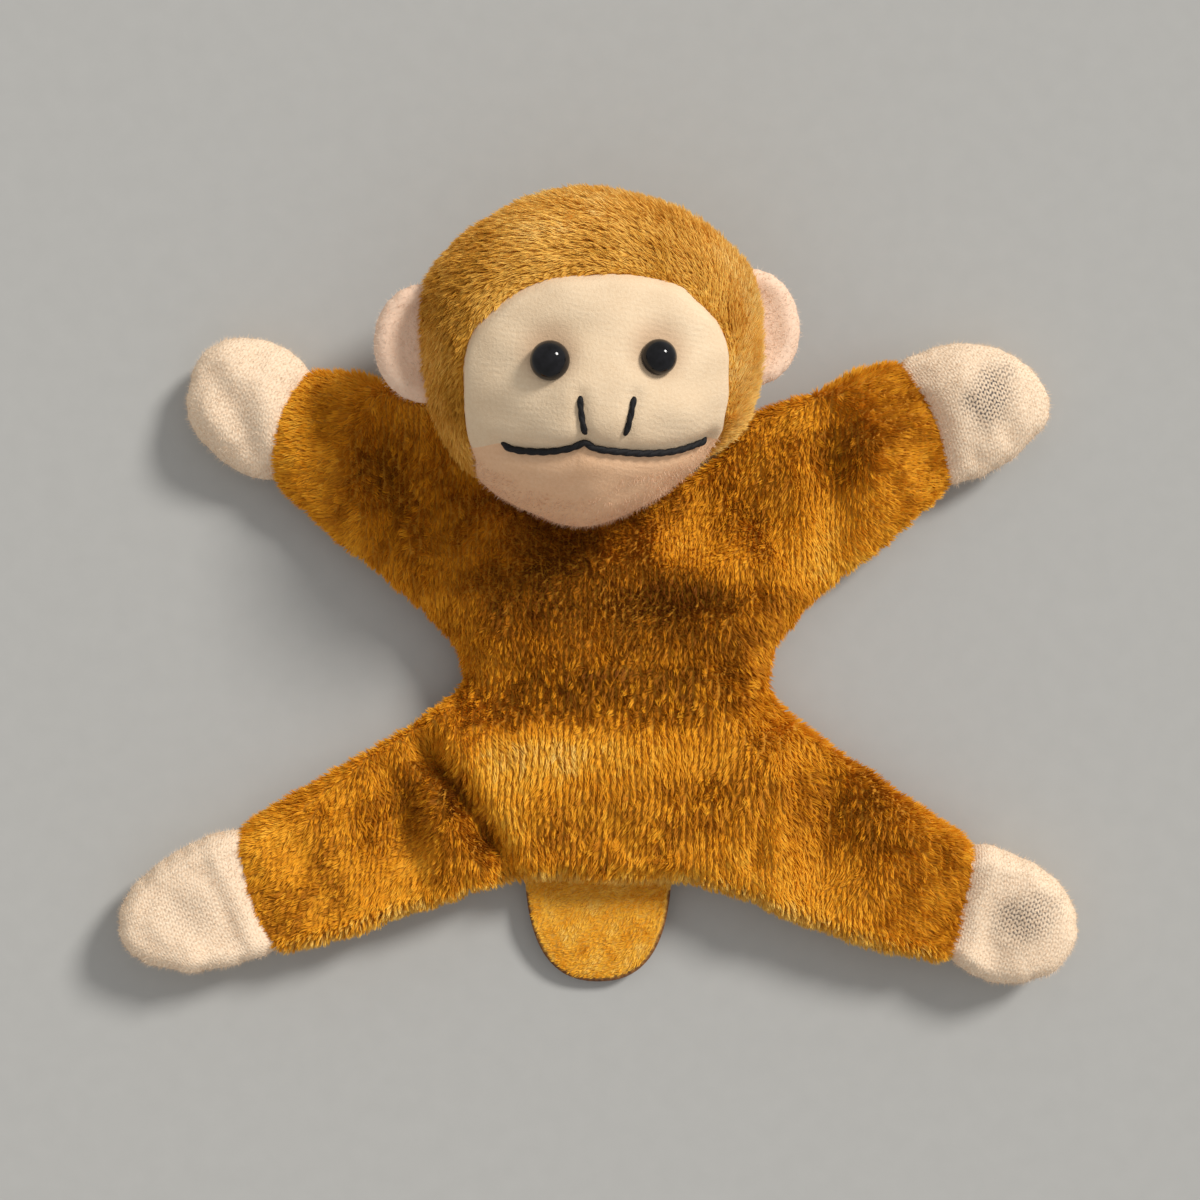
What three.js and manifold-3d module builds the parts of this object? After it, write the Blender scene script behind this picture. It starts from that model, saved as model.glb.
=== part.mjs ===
// A small plush monkey that clings to a steel door by a magnet in each paw.
// Millimetres. It lies on its back: the face looks along +Z, the head points along +Y, and z = 0 is
// the surface that it lies on or clings to. Left and right are as seen from the front.

import * as THREE from 'three';
import { mergeVertices } from 'three/addons/utils/BufferGeometryUtils.js';
import Module from 'manifold-3d';

const wasm = await Module();
wasm.setup();

// Cloth and clearances
const plushThickness = 1.8;
const knitThickness = 0.9;
const seamGap = 0.3;
const foldGap = 0.5;
const fillGap = 0.6;

// Swell of the stuffed panels, from the seam that runs round body, limbs and paws
const seamHeight = 4.5;
const torsoCrown = 5.8;
const shoulderCrown = 3.2;
const chestY = -4;
const limbCrown = 4.8;
const pawCrown = 4.2;
const crownPower = 3.2;
const bellyPower = 5;
const bodyRounding = 6;
const pawRounding = 3;

// Folds that the stuffing leaves in the front of the torso: across the waist, down from the left hip, and
// across the right of the chest
const torsoFolds = [
  { from: [-20, -14], to: [22, -16.5], depth: 1.7, width: 5 },
  { from: [-23.5, -17.5], to: [-13, -39], depth: 1.8, width: 3.2 },
  { from: [3, 0.5], to: [20, 1.6], depth: 0.9, width: 3.5 },
];

// Torso outline
const torsoCentreY = -8;
const seatHalf = 14;
const waistY = -9.5;
const waistHalf = 22.4;
const necklineY = 15;
const neckHalf = 23;
const neckBend = 18;
const neckTop = 29.2;
const shoulderX = 29;
const shoulderTop = 30;
const armpitY = -1;
const hipX = 26.4;
const hipTop = -16;
const hipLow = -45.9;
const seatRise = 4.5;
const torsoBottom = hipLow + seatRise;
const overrun = 7;
const shoulderRise = 2.5;
const armpitRise = 7.2;
const hipTopDrop = 4.2;
const hipLowDrop = 3.2;

// Limbs: how far each kind reaches from its fold, where the ends of each cuff seam are from the corners
// of the fold moved out by that reach, the swell of the edges between fold and cuff, and the paw
const armLength = 17;
const legLength = 24;
const limbs = {
  arm_left: { side: -1, cuffTop: [-2.9, 4.6], cuffLow: [2.9, 16.7], topSwell: 0.8, lowSwell: 0.4,
    paw: 'hand_left', pawLength: 15.6, pawWidth: 17.8 },
  arm_right: { side: 1, cuffTop: [-5.2, 5.4], cuffLow: [3.2, 16.2], topSwell: 0.8, lowSwell: 0.3,
    paw: 'hand_right', pawLength: 18.6, pawWidth: 18.4 },
  leg_left: { side: -1, cuffTop: [3.6, -15.9], cuffLow: [-3.2, -5.7], topSwell: 0, lowSwell: 0.8,
    paw: 'foot_left', pawLength: 21.6, pawWidth: 17.8 },
  leg_right: { side: 1, cuffTop: [1.9, -17.9], cuffLow: [-2.6, -7.1], topSwell: 0, lowSwell: 0.8,
    paw: 'foot_right', pawLength: 17.6, pawWidth: 19 },
};
const pawTipPower = 2.2;
const pawRootPower = 3.2;
const magnetDiameter = 10;
const magnetThickness = 2.5;
const magnetRise = 0.9;

// Head
const headX = -2.7;
const headOverlap = 4.7;
const headLift = 3;
const headHalfWidth = 24;
const headHalfHeight = 23.4;
const headY = necklineY - headOverlap + headHalfHeight;
const headFront = 17.5;
const headBack = 15;
const headYaw = 5;
const headRoll = 2.3;
const crownFullness = 0.1;
const crownLevel = 0.6;
const jawTaper = 0.12;
const jawLevel = 0.35;
const muzzleSwell = 2.4;
const muzzleY = -11.5;
const muzzleHalf = 11;
const muzzleHeight = 8;

// Face
const faceX = -1.2;
const faceTop = 9.1;
const faceHalf = 0.7375 * headHalfWidth;
const faceSideY = -4.5;
const browFullness = 0.9;
const browRoundness = 0.65;
const chinHalf = 0.592 * headHalfWidth;
const chinLevel = -17;
const mouthY = -13.9;
const mouthHalf = 13.6;
const mouthWave = 0.45;
const mouthPeakX = -3.6;
const threadRadius = 0.55;
const noseX = 3.1;
const noseSplay = 0.15;
const noseTop = -7.1;
const noseBottom = -12.3;
const eyeX = 7.1;
const eyeY = -2.3;
const eyeDiameter = 5;
const eyeHeight = 2.8;
const eyeStemRadius = 0.9;
const eyeStemLength = 4.2;
const washerRadius = 3;
const washerThickness = 1;

// Ears, neck and tail
const earY = 2.6;
const earHalfHeight = 8.4;
const earReach = 6.4;
const earRoot = 1.5;
const earSwell = 1.3;
const earGap = 0.75;
const neckRadius = 4;
const neckLength = 8;
const neckX = -2.4;
const neckRise = 2.6;
const neckTilt = 50;
const tailX = -2;
const tailWidth = 21.2;
const tailLength = 13.8;
const tailThickness = 1.6;
const tailFlare = 0.46;
const tailTaper = 0.7;
const tailRoundness = 0.3;

// How finely the round forms are divided
const torsoSegments = 60;
const limbSegments = 26;
const pawSegments = 20;
const magnetSegments = 20;
const headSegments = 24;
const headFillSegments = 16;
const headRingShare = 0.6;
const earSegments = 22;
const neckSegments = 20;
const eyeSegments = 14;
const eyeRings = 5;
const mouthSegments = 24;
const noseSegments = 6;
const bagRings = 4;
const torsoRings = 9;
const earRings = 3;

const plush = { color: '#b8752a', roughness: 0.95, metalness: 0 };
const knit = { color: '#e6c4a2', roughness: 0.9, metalness: 0 };
const pinkKnit = { color: '#e8b49c', roughness: 0.9, metalness: 0 };
const filling = { color: '#efece4', roughness: 1, metalness: 0 };
const blackPlastic = { color: '#0b0b0d', roughness: 0.12, metalness: 0 };
const blackThread = { color: '#17161a', roughness: 0.8, metalness: 0 };
const whitePlastic = { color: '#d9d9d6', roughness: 0.5, metalness: 0 };
const darkMagnet = { color: '#3a3a3e', roughness: 0.5, metalness: 0.6 };

const spot = (x, y) => new THREE.Vector2(x, y);

function piece(name, geometry, material) {
  geometry.computeVertexNormals();
  const mesh = new THREE.Mesh(geometry, new THREE.MeshStandardMaterial(material));
  mesh.name = name;
  return mesh;
}

function toSolid(geometry) {
  const bare = geometry.clone();
  bare.deleteAttribute('normal');
  bare.deleteAttribute('uv');
  const merged = mergeVertices(bare, 1e-4);
  return new wasm.Manifold(new wasm.Mesh({
    numProp: 3,
    vertProperties: new Float32Array(merged.attributes.position.array),
    triVerts: new Uint32Array(merged.index.array),
  }));
}

function toGeometry(solid) {
  const mesh = solid.getMesh();
  const geometry = new THREE.BufferGeometry();
  geometry.setAttribute('position', new THREE.BufferAttribute(mesh.vertProperties, 3));
  geometry.setIndex(new THREE.BufferAttribute(mesh.triVerts, 1));
  return geometry;
}

function cut(geometry, ...cutters) {
  return toGeometry(cutters.reduce((solid, cutter) => solid.subtract(toSolid(cutter)), toSolid(geometry)));
}

function common(first, second) {
  return toGeometry(toSolid(first).intersect(toSolid(second)));
}

// Everything on one side of an upright plane through a point, facing the given direction.
const farAway = 200;
function beyond(point, angle) {
  const box = new THREE.BoxGeometry(farAway, farAway, farAway);
  box.translate(farAway / 2, 0, 0);
  box.rotateZ(angle);
  box.translate(point.x, point.y, 0);
  return box;
}

// Points round a closed path, counter-clockwise.
function outlineOf(path, count) {
  const points = path.getSpacedPoints(count).slice(0, count);
  return THREE.ShapeUtils.area(points) < 0 ? points.reverse() : points;
}

function grown(outline, distance) {
  return outline.map((point, i) => {
    const before = outline.at(i - 1);
    const after = outline[(i + 1) % outline.length];
    const along = after.clone().sub(before).normalize();
    return spot(point.x + along.y * distance, point.y - along.x * distance);
  });
}

function edgeDistance(outline, point) {
  const distances = outline.map((from, i) => {
    const side = outline[(i + 1) % outline.length].clone().sub(from);
    const share = THREE.MathUtils.clamp(point.clone().sub(from).dot(side) / side.lengthSq(), 0, 1);
    return from.clone().addScaledVector(side, share).distanceTo(point);
  });
  return Math.min(...distances);
}

// The outline drawn in: each point slides towards the middle until it is that far from the edge,
// so that the corners never fold over.
const insetStep = 0.02;
function inset(outline, middle, distance) {
  return outline.map((point) => {
    const step = middle.clone().sub(point).setLength(insetStep);
    const moved = point.clone();
    while (edgeDistance(outline, moved) < distance) {
      moved.add(step);
    }
    return moved;
  });
}

const everyOther = (outline) => outline.filter((point, i) => i % 2 === 0);

function middleOf(outline) {
  const sum = outline.reduce((total, point) => total.add(point), spot(0, 0));
  return sum.divideScalar(outline.length);
}

// How far a stuffed panel stands off its seam, at a share of the way from its middle to the seam.
const frontSwell = (crown, power = crownPower) => (share) => crown * Math.sqrt(1 - share ** power);

function foldDepth(at) {
  return torsoFolds.reduce((depth, fold) => {
    const away = edgeDistance([spot(...fold.from), spot(...fold.to)], at) / fold.width;
    return depth + fold.depth * Math.exp(-away * away);
  }, 0);
}

// The torso is fuller in the belly than in the chest, with its folds pressed in.
const torsoSwell = (change) => (share, reach, at) => {
  const upward = THREE.MathUtils.smoothstep(at.y, chestY, necklineY);
  const crown = THREE.MathUtils.lerp(torsoCrown, shoulderCrown, upward);
  const chestShare = THREE.MathUtils.smoothstep(at.y, waistY, chestY);
  const power = THREE.MathUtils.lerp(bellyPower, crownPower, chestShare);
  return frontSwell(crown + change, power)(share) - foldDepth(at) * (1 - share * share);
};
const backSwell = (depth, rounding) => (share, reach) => {
  const edge = Math.max(0, 1 - (1 - share) * reach / rounding);
  return -depth * Math.sqrt(1 - edge * edge);
};

class Skin {
  points = [];
  faces = [];

  face(a, b, c, flip) {
    this.faces.push(...(flip ? [a, c, b] : [a, b, c]));
  }

  ring(points) {
    return points.map((point) => this.points.push(point) - 1);
  }

  strip(outer, inner, flip) {
    outer.forEach((corner, i) => {
      const next = (i + 1) % outer.length;
      this.face(corner, outer[next], inner[i], flip);
      this.face(outer[next], inner[next], inner[i], flip);
    });
  }

  // A swelling sheet from the seam ring to the middle of the outline.
  sheet(seam, outline, middle, rings, seamZ, swell, flip) {
    let outer = seam;
    for (let ring = rings - 1; ring > 0; ring--) {
      const share = Math.sin(Math.PI / 2 * ring / rings);
      const inner = this.ring(outline.map((point) => {
        const at = middle.clone().lerp(point, share);
        const reach = point.distanceTo(middle);
        return new THREE.Vector3(at.x, at.y, seamZ + swell(share, reach, at));
      }));
      this.strip(outer, inner, flip);
      outer = inner;
    }
    const peak = new THREE.Vector3(middle.x, middle.y, seamZ + swell(0, Infinity, middle));
    const top = this.points.push(peak) - 1;
    outer.forEach((corner, i) => this.face(corner, outer[(i + 1) % outer.length], top, flip));
  }

  seam(outline, seamZ) {
    return this.ring(outline.map((point) => new THREE.Vector3(point.x, point.y, seamZ)));
  }

  geometry() {
    const geometry = new THREE.BufferGeometry().setFromPoints(this.points);
    geometry.setIndex(this.faces);
    return geometry;
  }
}

// One cloth panel: an outer and an inner sheet that meet at a rim along the seam.
function clothPanel(outline, middle, wall, seamZ, outerSwell, innerSwell, rings, isBack) {
  const skin = new Skin();
  const inner = inset(outline, middle, wall);
  const outerSeam = skin.seam(outline, seamZ);
  const innerSeam = skin.seam(inner, seamZ);
  skin.sheet(outerSeam, outline, middle, rings, seamZ, outerSwell, isBack);
  skin.strip(outerSeam, innerSeam, !isBack);
  skin.sheet(innerSeam, inner, middle, rings - 1, seamZ, innerSwell, !isBack);
  return skin.geometry();
}

// A closed stuffed form: two swelling sheets that share their seam.
function pillow(outline, middle, seamZ, upSwell, downSwell, upRings, downRings = upRings) {
  const skin = new Skin();
  const seam = skin.seam(outline, seamZ);
  skin.sheet(seam, outline, middle, upRings, seamZ, upSwell, false);
  skin.sheet(seam, outline, middle, downRings, seamZ, downSwell, true);
  return skin.geometry();
}

// The front panel, back panel and filling of one stuffed bag, in that order.
function stuffedBag(outline, middle, wall, swell, rounding, fillOutline, frontRings = bagRings) {
  const lift = seamGap / 2;
  const fillInset = wall + fillGap;
  const front = clothPanel(outline, middle, wall, seamHeight + lift,
    swell(-lift), swell(-lift - wall), frontRings, false);
  const back = clothPanel(outline, middle, wall, seamHeight - lift,
    backSwell(seamHeight - lift, rounding), backSwell(seamHeight - lift - wall, rounding), bagRings, true);
  const fill = pillow(inset(fillOutline, middle, fillInset), middle, seamHeight,
    swell(-fillInset), backSwell(seamHeight - fillInset, rounding), frontRings - 1, bagRings - 1);
  return [front, back, fill];
}

const toy = new THREE.Group();

// Torso: one X-shaped bag, cut off upright at the four folds where the limbs bend.
function torsoPath() {
  const shoulderOut = shoulderX + overrun;
  const hipOut = hipX + overrun;
  const side = (sign) => ({
    seat: [
      spot(sign * seatHalf, torsoBottom),
      spot(sign * hipX, hipLow),
      spot(sign * hipOut, hipLow - hipLowDrop),
    ],
    flank: [
      spot(sign * hipOut, hipTop - hipTopDrop),
      spot(sign * hipX, hipTop),
      spot(sign * waistHalf, waistY),
      spot(sign * shoulderX, armpitY),
      spot(sign * shoulderOut, armpitY + armpitRise),
    ],
    shoulder: [
      spot(sign * shoulderOut, shoulderTop + shoulderRise),
      spot(sign * shoulderX, shoulderTop),
      spot(sign * neckHalf, neckTop),
    ],
  });
  const right = side(1);
  const left = side(-1);
  const path = new THREE.Path();
  path.moveTo(0, torsoBottom);
  path.splineThru(right.seat);
  path.lineTo(right.flank[0].x, right.flank[0].y);
  path.splineThru(right.flank.slice(1));
  path.lineTo(right.shoulder[0].x, right.shoulder[0].y);
  path.splineThru(right.shoulder.slice(1));
  const neckDip = (4 * necklineY - neckTop) / 3;
  path.bezierCurveTo(neckBend, neckDip, -neckBend, neckDip, -neckHalf, neckTop);
  path.splineThru([left.shoulder[1], left.shoulder[0]]);
  path.lineTo(left.flank[4].x, left.flank[4].y);
  path.splineThru([left.flank[3], left.flank[2], left.flank[1], left.flank[0]]);
  path.lineTo(left.seat[2].x, left.seat[2].y);
  path.splineThru([left.seat[1], left.seat[0], spot(0, torsoBottom)]);
  return path;
}

const torsoOutline = outlineOf(torsoPath(), torsoSegments);
const torsoMiddle = spot(0, torsoCentreY);
const folds = [];
for (const sign of [-1, 1]) {
  const outward = sign < 0 ? Math.PI : 0;
  const shoulder = beyond(spot(sign * shoulderX, waistY + farAway / 2), outward);
  const hip = beyond(spot(sign * hipX, waistY - farAway / 2), outward);
  folds.push(shoulder, hip);
}
const torsoBag = stuffedBag(torsoOutline, torsoMiddle, plushThickness, torsoSwell, bodyRounding,
  torsoOutline, torsoRings);
const [torsoFront, torsoBack, torsoFill] = torsoBag.map((geometry) => cut(geometry, ...folds));
toy.add(piece('torso_front', torsoFront, plush));
toy.add(piece('torso_back', torsoBack, plush));
toy.add(piece('torso_stuffing', torsoFill, filling));

// Each limb is a bag with a rounded root that rolls in its fold, cut off square at the cuff.
function pawOutline(limb, count) {
  const half = limb.pawLength / 2;
  const points = [];
  for (let i = 0; i < count; i++) {
    const angle = 2 * Math.PI * i / count;
    const power = 2 / (Math.cos(angle) > 0 ? pawTipPower : pawRootPower);
    const along = Math.sign(Math.cos(angle)) * Math.abs(Math.cos(angle)) ** power;
    const across = Math.sign(Math.sin(angle)) * Math.abs(Math.sin(angle)) ** power;
    points.push(spot(foldGap + half + half * along, limb.pawWidth / 2 * across));
  }
  return points;
}

for (const [name, limb] of Object.entries(limbs)) {
  const isArm = name.startsWith('arm');
  const foldX = isArm ? shoulderX : hipX;
  const foldTop = isArm ? shoulderTop : hipTop;
  const foldLow = isArm ? armpitY : hipLow;
  const reach = foldX + (isArm ? armLength : legLength);
  const rootTop = spot(limb.side * (foldX + foldGap), foldTop);
  const rootLow = spot(limb.side * (foldX + foldGap), foldLow);
  const cuffTop = spot(limb.side * (reach + limb.cuffTop[0]), foldTop + limb.cuffTop[1]);
  const cuffLow = spot(limb.side * (reach + limb.cuffLow[0]), foldLow + limb.cuffLow[1]);
  const cuffMiddle = cuffTop.clone().lerp(cuffLow, 0.5);
  const cuffLine = cuffTop.clone().sub(cuffLow).normalize();
  const pawWay = spot(cuffLine.y, -cuffLine.x).multiplyScalar(limb.side);
  const pawAngle = pawWay.angle();

  const past = pawWay.clone().multiplyScalar(overrun);
  const topBend = rootTop.clone().lerp(cuffTop, 0.5).addScaledVector(cuffLine, 2 * limb.topSwell);
  const lowBend = rootLow.clone().lerp(cuffLow, 0.5).addScaledVector(cuffLine, -2 * limb.lowSwell);
  const path = new THREE.Path();
  path.moveTo(rootTop.x, rootTop.y);
  path.quadraticCurveTo(topBend.x, topBend.y, cuffTop.x, cuffTop.y);
  path.lineTo(cuffTop.x + past.x, cuffTop.y + past.y);
  path.lineTo(cuffLow.x + past.x, cuffLow.y + past.y);
  path.lineTo(cuffLow.x, cuffLow.y);
  path.quadraticCurveTo(lowBend.x, lowBend.y, rootLow.x, rootLow.y);
  path.lineTo(rootTop.x, rootTop.y);
  const outline = outlineOf(path, limbSegments);
  const cuff = beyond(cuffMiddle, pawAngle);
  const limbSwell = (change) => frontSwell(limbCrown + change);
  const bag = stuffedBag(outline, middleOf(outline), plushThickness, limbSwell, bodyRounding, outline);
  const [front, back, fill] = bag.map((geometry) => cut(geometry, cuff));
  toy.add(piece(`${name}_front`, front, plush));
  toy.add(piece(`${name}_back`, back, plush));
  toy.add(piece(`${name}_stuffing`, fill, filling));

  const paw = new THREE.Group();
  paw.position.set(cuffMiddle.x, cuffMiddle.y, 0);
  paw.rotation.z = pawAngle;
  const shape = pawOutline(limb, pawSegments);
  const middle = spot(foldGap + limb.pawLength / 2, 0);
  const pawSwell = (change) => frontSwell(pawCrown + change);
  const [pawFront, pawBack, pawFill] = stuffedBag(shape, middle, knitThickness, pawSwell, pawRounding,
    everyOther(shape));
  const magnetBottom = knitThickness + seamGap + magnetRise;
  const magnet = new THREE.CylinderGeometry(magnetDiameter / 2, magnetDiameter / 2, magnetThickness,
    magnetSegments);
  magnet.rotateX(Math.PI / 2);
  magnet.translate(middle.x, middle.y, magnetBottom + magnetThickness / 2);
  const pocketRadius = magnetDiameter / 2 + seamGap;
  const pocketDepth = magnetBottom + magnetThickness + seamGap;
  const pocket = new THREE.CylinderGeometry(pocketRadius, pocketRadius, pocketDepth, magnetSegments);
  pocket.rotateX(Math.PI / 2);
  pocket.translate(middle.x, middle.y, pocketDepth / 2);
  paw.add(piece(`${limb.paw}_front`, pawFront, knit));
  paw.add(piece(`${limb.paw}_back`, pawBack, knit));
  paw.add(piece(`${limb.paw}_wadding`, cut(pawFill, pocket), filling));
  paw.add(piece(`${limb.paw}_magnet`, magnet, darkMagnet));
  toy.add(paw);
}

// Head: an egg with a fuller crown, a narrower jaw and a soft muzzle, in its own frame, looking along +Z.
function headPoint(way, grow) {
  const fuller = crownFullness * THREE.MathUtils.smoothstep(way.y, 0, crownLevel);
  const narrower = jawTaper * THREE.MathUtils.smoothstep(-way.y, jawLevel, 1);
  const depth = way.z > 0 ? headFront : headBack;
  const point = new THREE.Vector3(
    (headHalfWidth + grow) * way.x * (1 + fuller - narrower),
    (headHalfHeight + grow) * way.y,
    (depth + grow) * way.z,
  );
  const across = point.x / muzzleHalf;
  const upward = (point.y - muzzleY) / muzzleHeight;
  point.z += muzzleSwell * Math.max(0, way.z) * Math.exp(-across * across - upward * upward);
  return point;
}

function headForm(grow, sides = headSegments) {
  const form = new THREE.SphereGeometry(1, sides, Math.round(sides * headRingShare));
  const position = form.attributes.position;
  const way = new THREE.Vector3();
  for (let i = 0; i < position.count; i++) {
    way.fromBufferAttribute(position, i).normalize();
    const point = headPoint(way, grow);
    position.setXYZ(i, point.x, point.y, point.z);
  }
  return form;
}

// The point of the face over a given place, and the way that the face looks there.
function facePoint(x, y, rise) {
  const way = new THREE.Vector3(0, 0, 1);
  for (let step = 0; step < 20; step++) {
    const point = headPoint(way, 0);
    way.x += (x - point.x) / headHalfWidth;
    way.y += (y - point.y) / headHalfHeight;
    way.z = Math.sqrt(Math.max(0.01, 1 - way.x * way.x - way.y * way.y));
  }
  const point = headPoint(way, 0);
  const wider = headPoint(way.clone().add(new THREE.Vector3(0.02, 0, 0)).normalize(), 0);
  const higher = headPoint(way.clone().add(new THREE.Vector3(0, 0.02, 0)).normalize(), 0);
  const normal = wider.sub(point).cross(higher.sub(point)).normalize();
  return { point: point.clone().addScaledVector(normal, rise), normal };
}

// The face's outline, seen from the front, grown outward by a margin.
function facePrism(margin) {
  const half = faceHalf + margin;
  const top = faceTop + margin;
  const chin = chinHalf + margin;
  const below = -headHalfHeight - 2 * plushThickness;
  const shape = new THREE.Shape();
  shape.moveTo(chin, below);
  shape.lineTo(chin, chinLevel);
  shape.quadraticCurveTo(half, (chinLevel + faceSideY) / 2, half, faceSideY);
  shape.bezierCurveTo(half, browFullness * top, browRoundness * half, top, 0, top);
  shape.bezierCurveTo(-browRoundness * half, top, -half, browFullness * top, -half, faceSideY);
  shape.quadraticCurveTo(-half, (chinLevel + faceSideY) / 2, -chin, chinLevel);
  shape.lineTo(-chin, below);
  shape.closePath();
  const depth = headFront + muzzleSwell + 2 * plushThickness;
  const prism = new THREE.ExtrudeGeometry(shape, { depth, bevelEnabled: false, curveSegments: 8 });
  return prism.translate(faceX, 0, 0);
}

function slab(axis, from, to) {
  const size = [farAway, farAway, farAway];
  size[axis] = to - from;
  const box = new THREE.BoxGeometry(...size);
  const shift = [0, 0, 0];
  shift[axis] = (from + to) / 2;
  return box.translate(...shift);
}

const head = new THREE.Group();
head.position.set(headX, headY, headLift + headBack);
head.rotation.set(0, THREE.MathUtils.degToRad(headYaw), THREE.MathUtils.degToRad(headRoll), 'ZYX');
head.updateMatrix();

const headOuter = headForm(0);
const plushShell = cut(headOuter, headForm(-plushThickness));
const knitShell = cut(headOuter, headForm(-knitThickness));
const frontHalf = slab(2, seamGap / 2, farAway);
const backHalf = slab(2, -farAway, -seamGap / 2);
const crownFront = cut(common(plushShell, frontHalf), facePrism(seamGap / 2));
const faceWhole = common(common(knitShell, frontHalf), facePrism(-seamGap / 2));

const eyes = [-1, 1].map((sign) => {
  const seat = facePoint(sign * eyeX, eyeY, 0);
  const turn = new THREE.Quaternion().setFromUnitVectors(new THREE.Vector3(0, 1, 0), seat.normal);
  return { side: sign < 0 ? 'left' : 'right', seat: seat.point, turn };
});
const washerDrop = knitThickness + seamGap + washerRadius ** 2 / headFront;

// A disc or rod on an eye's stem, from one depth to another along it.
function onStem(eye, radius, from, to) {
  const rod = new THREE.CylinderGeometry(radius, radius, to - from, eyeSegments);
  rod.translate(0, (from + to) / 2, 0);
  rod.applyQuaternion(eye.turn);
  return rod.translate(eye.seat.x, eye.seat.y, eye.seat.z);
}

const stemHoles = eyes.map((eye) => onStem(eye, eyeStemRadius + seamGap,
  -eyeStemLength - seamGap, eyeHeight));
const washerRooms = eyes.map((eye) => onStem(eye, washerRadius + seamGap,
  -washerDrop - washerThickness - seamGap, eyeHeight));
const facePanel = cut(common(faceWhole, slab(1, mouthY + seamGap / 2, farAway)), ...stemHoles);
const chinPanel = common(faceWhole, slab(1, -farAway, mouthY - seamGap / 2));
const fillCore = toSolid(headForm(-plushThickness - fillGap, headFillSegments));
const fillFace = common(headForm(-knitThickness - fillGap, headFillSegments), facePrism(-2 * seamGap));
const headFill = cut(toGeometry(fillCore.add(toSolid(fillFace))), ...stemHoles, ...washerRooms);

head.add(piece('crown_front', crownFront, plush));
head.add(piece('head_back', common(plushShell, backHalf), plush));
head.add(piece('face_panel', facePanel, knit));
head.add(piece('chin_panel', chinPanel, pinkKnit));
head.add(piece('head_stuffing', headFill, filling));

// Eyes: a dome on a stem that goes through the face into a washer.
for (const eye of eyes) {
  const radius = eyeDiameter / 2;
  const profile = [
    spot(0, -eyeStemLength),
    spot(eyeStemRadius, -eyeStemLength),
    spot(eyeStemRadius, seamGap),
  ];
  for (let step = 0; step <= eyeRings; step++) {
    const angle = Math.PI / 2 * step / eyeRings;
    profile.push(spot(radius * Math.cos(angle), seamGap + eyeHeight * Math.sin(angle)));
  }
  profile[profile.length - 1].x = 0;
  const dome = piece(`eye_${eye.side}`, new THREE.LatheGeometry(profile, eyeSegments), blackPlastic);
  dome.position.copy(eye.seat);
  dome.quaternion.copy(eye.turn);
  head.add(dome);

  const bore = onStem(eye, eyeStemRadius + seamGap, -eyeStemLength, 0);
  const disc = onStem(eye, washerRadius, -washerDrop - washerThickness, -washerDrop);
  head.add(piece(`eye_washer_${eye.side}`, cut(disc, bore), whitePlastic));
}

// Stitches: black thread laid along the face.
function stitch(name, places, steps) {
  const route = new THREE.CatmullRomCurve3(places.map(([x, y]) => {
    return facePoint(x, y, threadRadius + seamGap).point;
  }));
  const section = new THREE.Shape();
  section.absarc(0, 0, threadRadius, 0, 2 * Math.PI);
  const options = { steps, extrudePath: route, bevelEnabled: false, curveSegments: 3 };
  head.add(piece(name, new THREE.ExtrudeGeometry(section, options), blackThread));
}

for (const sign of [-1, 1]) {
  const nosePlaces = [
    [sign * noseX * (1 + noseSplay), noseTop],
    [sign * noseX * (1 + noseSplay / 3), (noseTop + noseBottom) / 2],
    [sign * noseX * (1 - noseSplay), noseBottom],
  ];
  stitch(`nose_stitch_${sign < 0 ? 'left' : 'right'}`, nosePlaces, noseSegments);
}
const mouthPlaces = [];
const mouthSteps = mouthSegments / 3;
for (let step = -mouthSteps; step <= mouthSteps; step++) {
  const x = mouthHalf * step / mouthSteps;
  const lobe = x < mouthPeakX ? -mouthHalf - mouthPeakX : mouthHalf - mouthPeakX;
  const curl = mouthWave * Math.cos(2 * Math.PI * (x - mouthPeakX) / lobe);
  mouthPlaces.push([x, mouthY + curl]);
}
stitch('mouth_stitch', mouthPlaces, mouthSegments);

// Ears: flat stuffed pads, hollowed at the root to follow the side of the head.
const earClear = headForm(earGap);
for (const sign of [-1, 1]) {
  const path = new THREE.Path();
  const earX = sign * (headHalfWidth - earRoot / 2);
  path.absellipse(earX, earY, earReach + earRoot / 2, earHalfHeight, 0, 2 * Math.PI);
  const outline = outlineOf(path, earSegments);
  const swell = frontSwell(earSwell);
  const pad = pillow(outline, middleOf(outline), 0, swell, (share) => -swell(share), earRings);
  head.add(piece(`ear_${sign < 0 ? 'left' : 'right'}`, cut(pad, earClear), pinkKnit));
}
toy.add(head);

// Neck: the gathered tube between the body's neckline and the head, fitted to both.
const neckSpot = new THREE.Vector3(neckX, necklineY, seamHeight + neckRise);
const neckLean = THREE.MathUtils.degToRad(neckTilt);
const neckWay = new THREE.Vector3(0, Math.cos(neckLean), Math.sin(neckLean));
const neckRod = new THREE.CylinderGeometry(neckRadius, neckRadius, neckLength, neckSegments);
neckRod.applyQuaternion(new THREE.Quaternion().setFromUnitVectors(new THREE.Vector3(0, 1, 0), neckWay));
neckRod.translate(neckSpot.x, neckSpot.y, neckSpot.z);
const torsoClear = pillow(grown(torsoOutline, seamGap), torsoMiddle, seamHeight,
  torsoSwell(seamGap), backSwell(seamHeight + seamGap, bodyRounding), torsoRings);
const headClear = headForm(seamGap).applyMatrix4(head.matrix);
toy.add(piece('neck_tube', cut(neckRod, torsoClear, headClear), plush));

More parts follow.
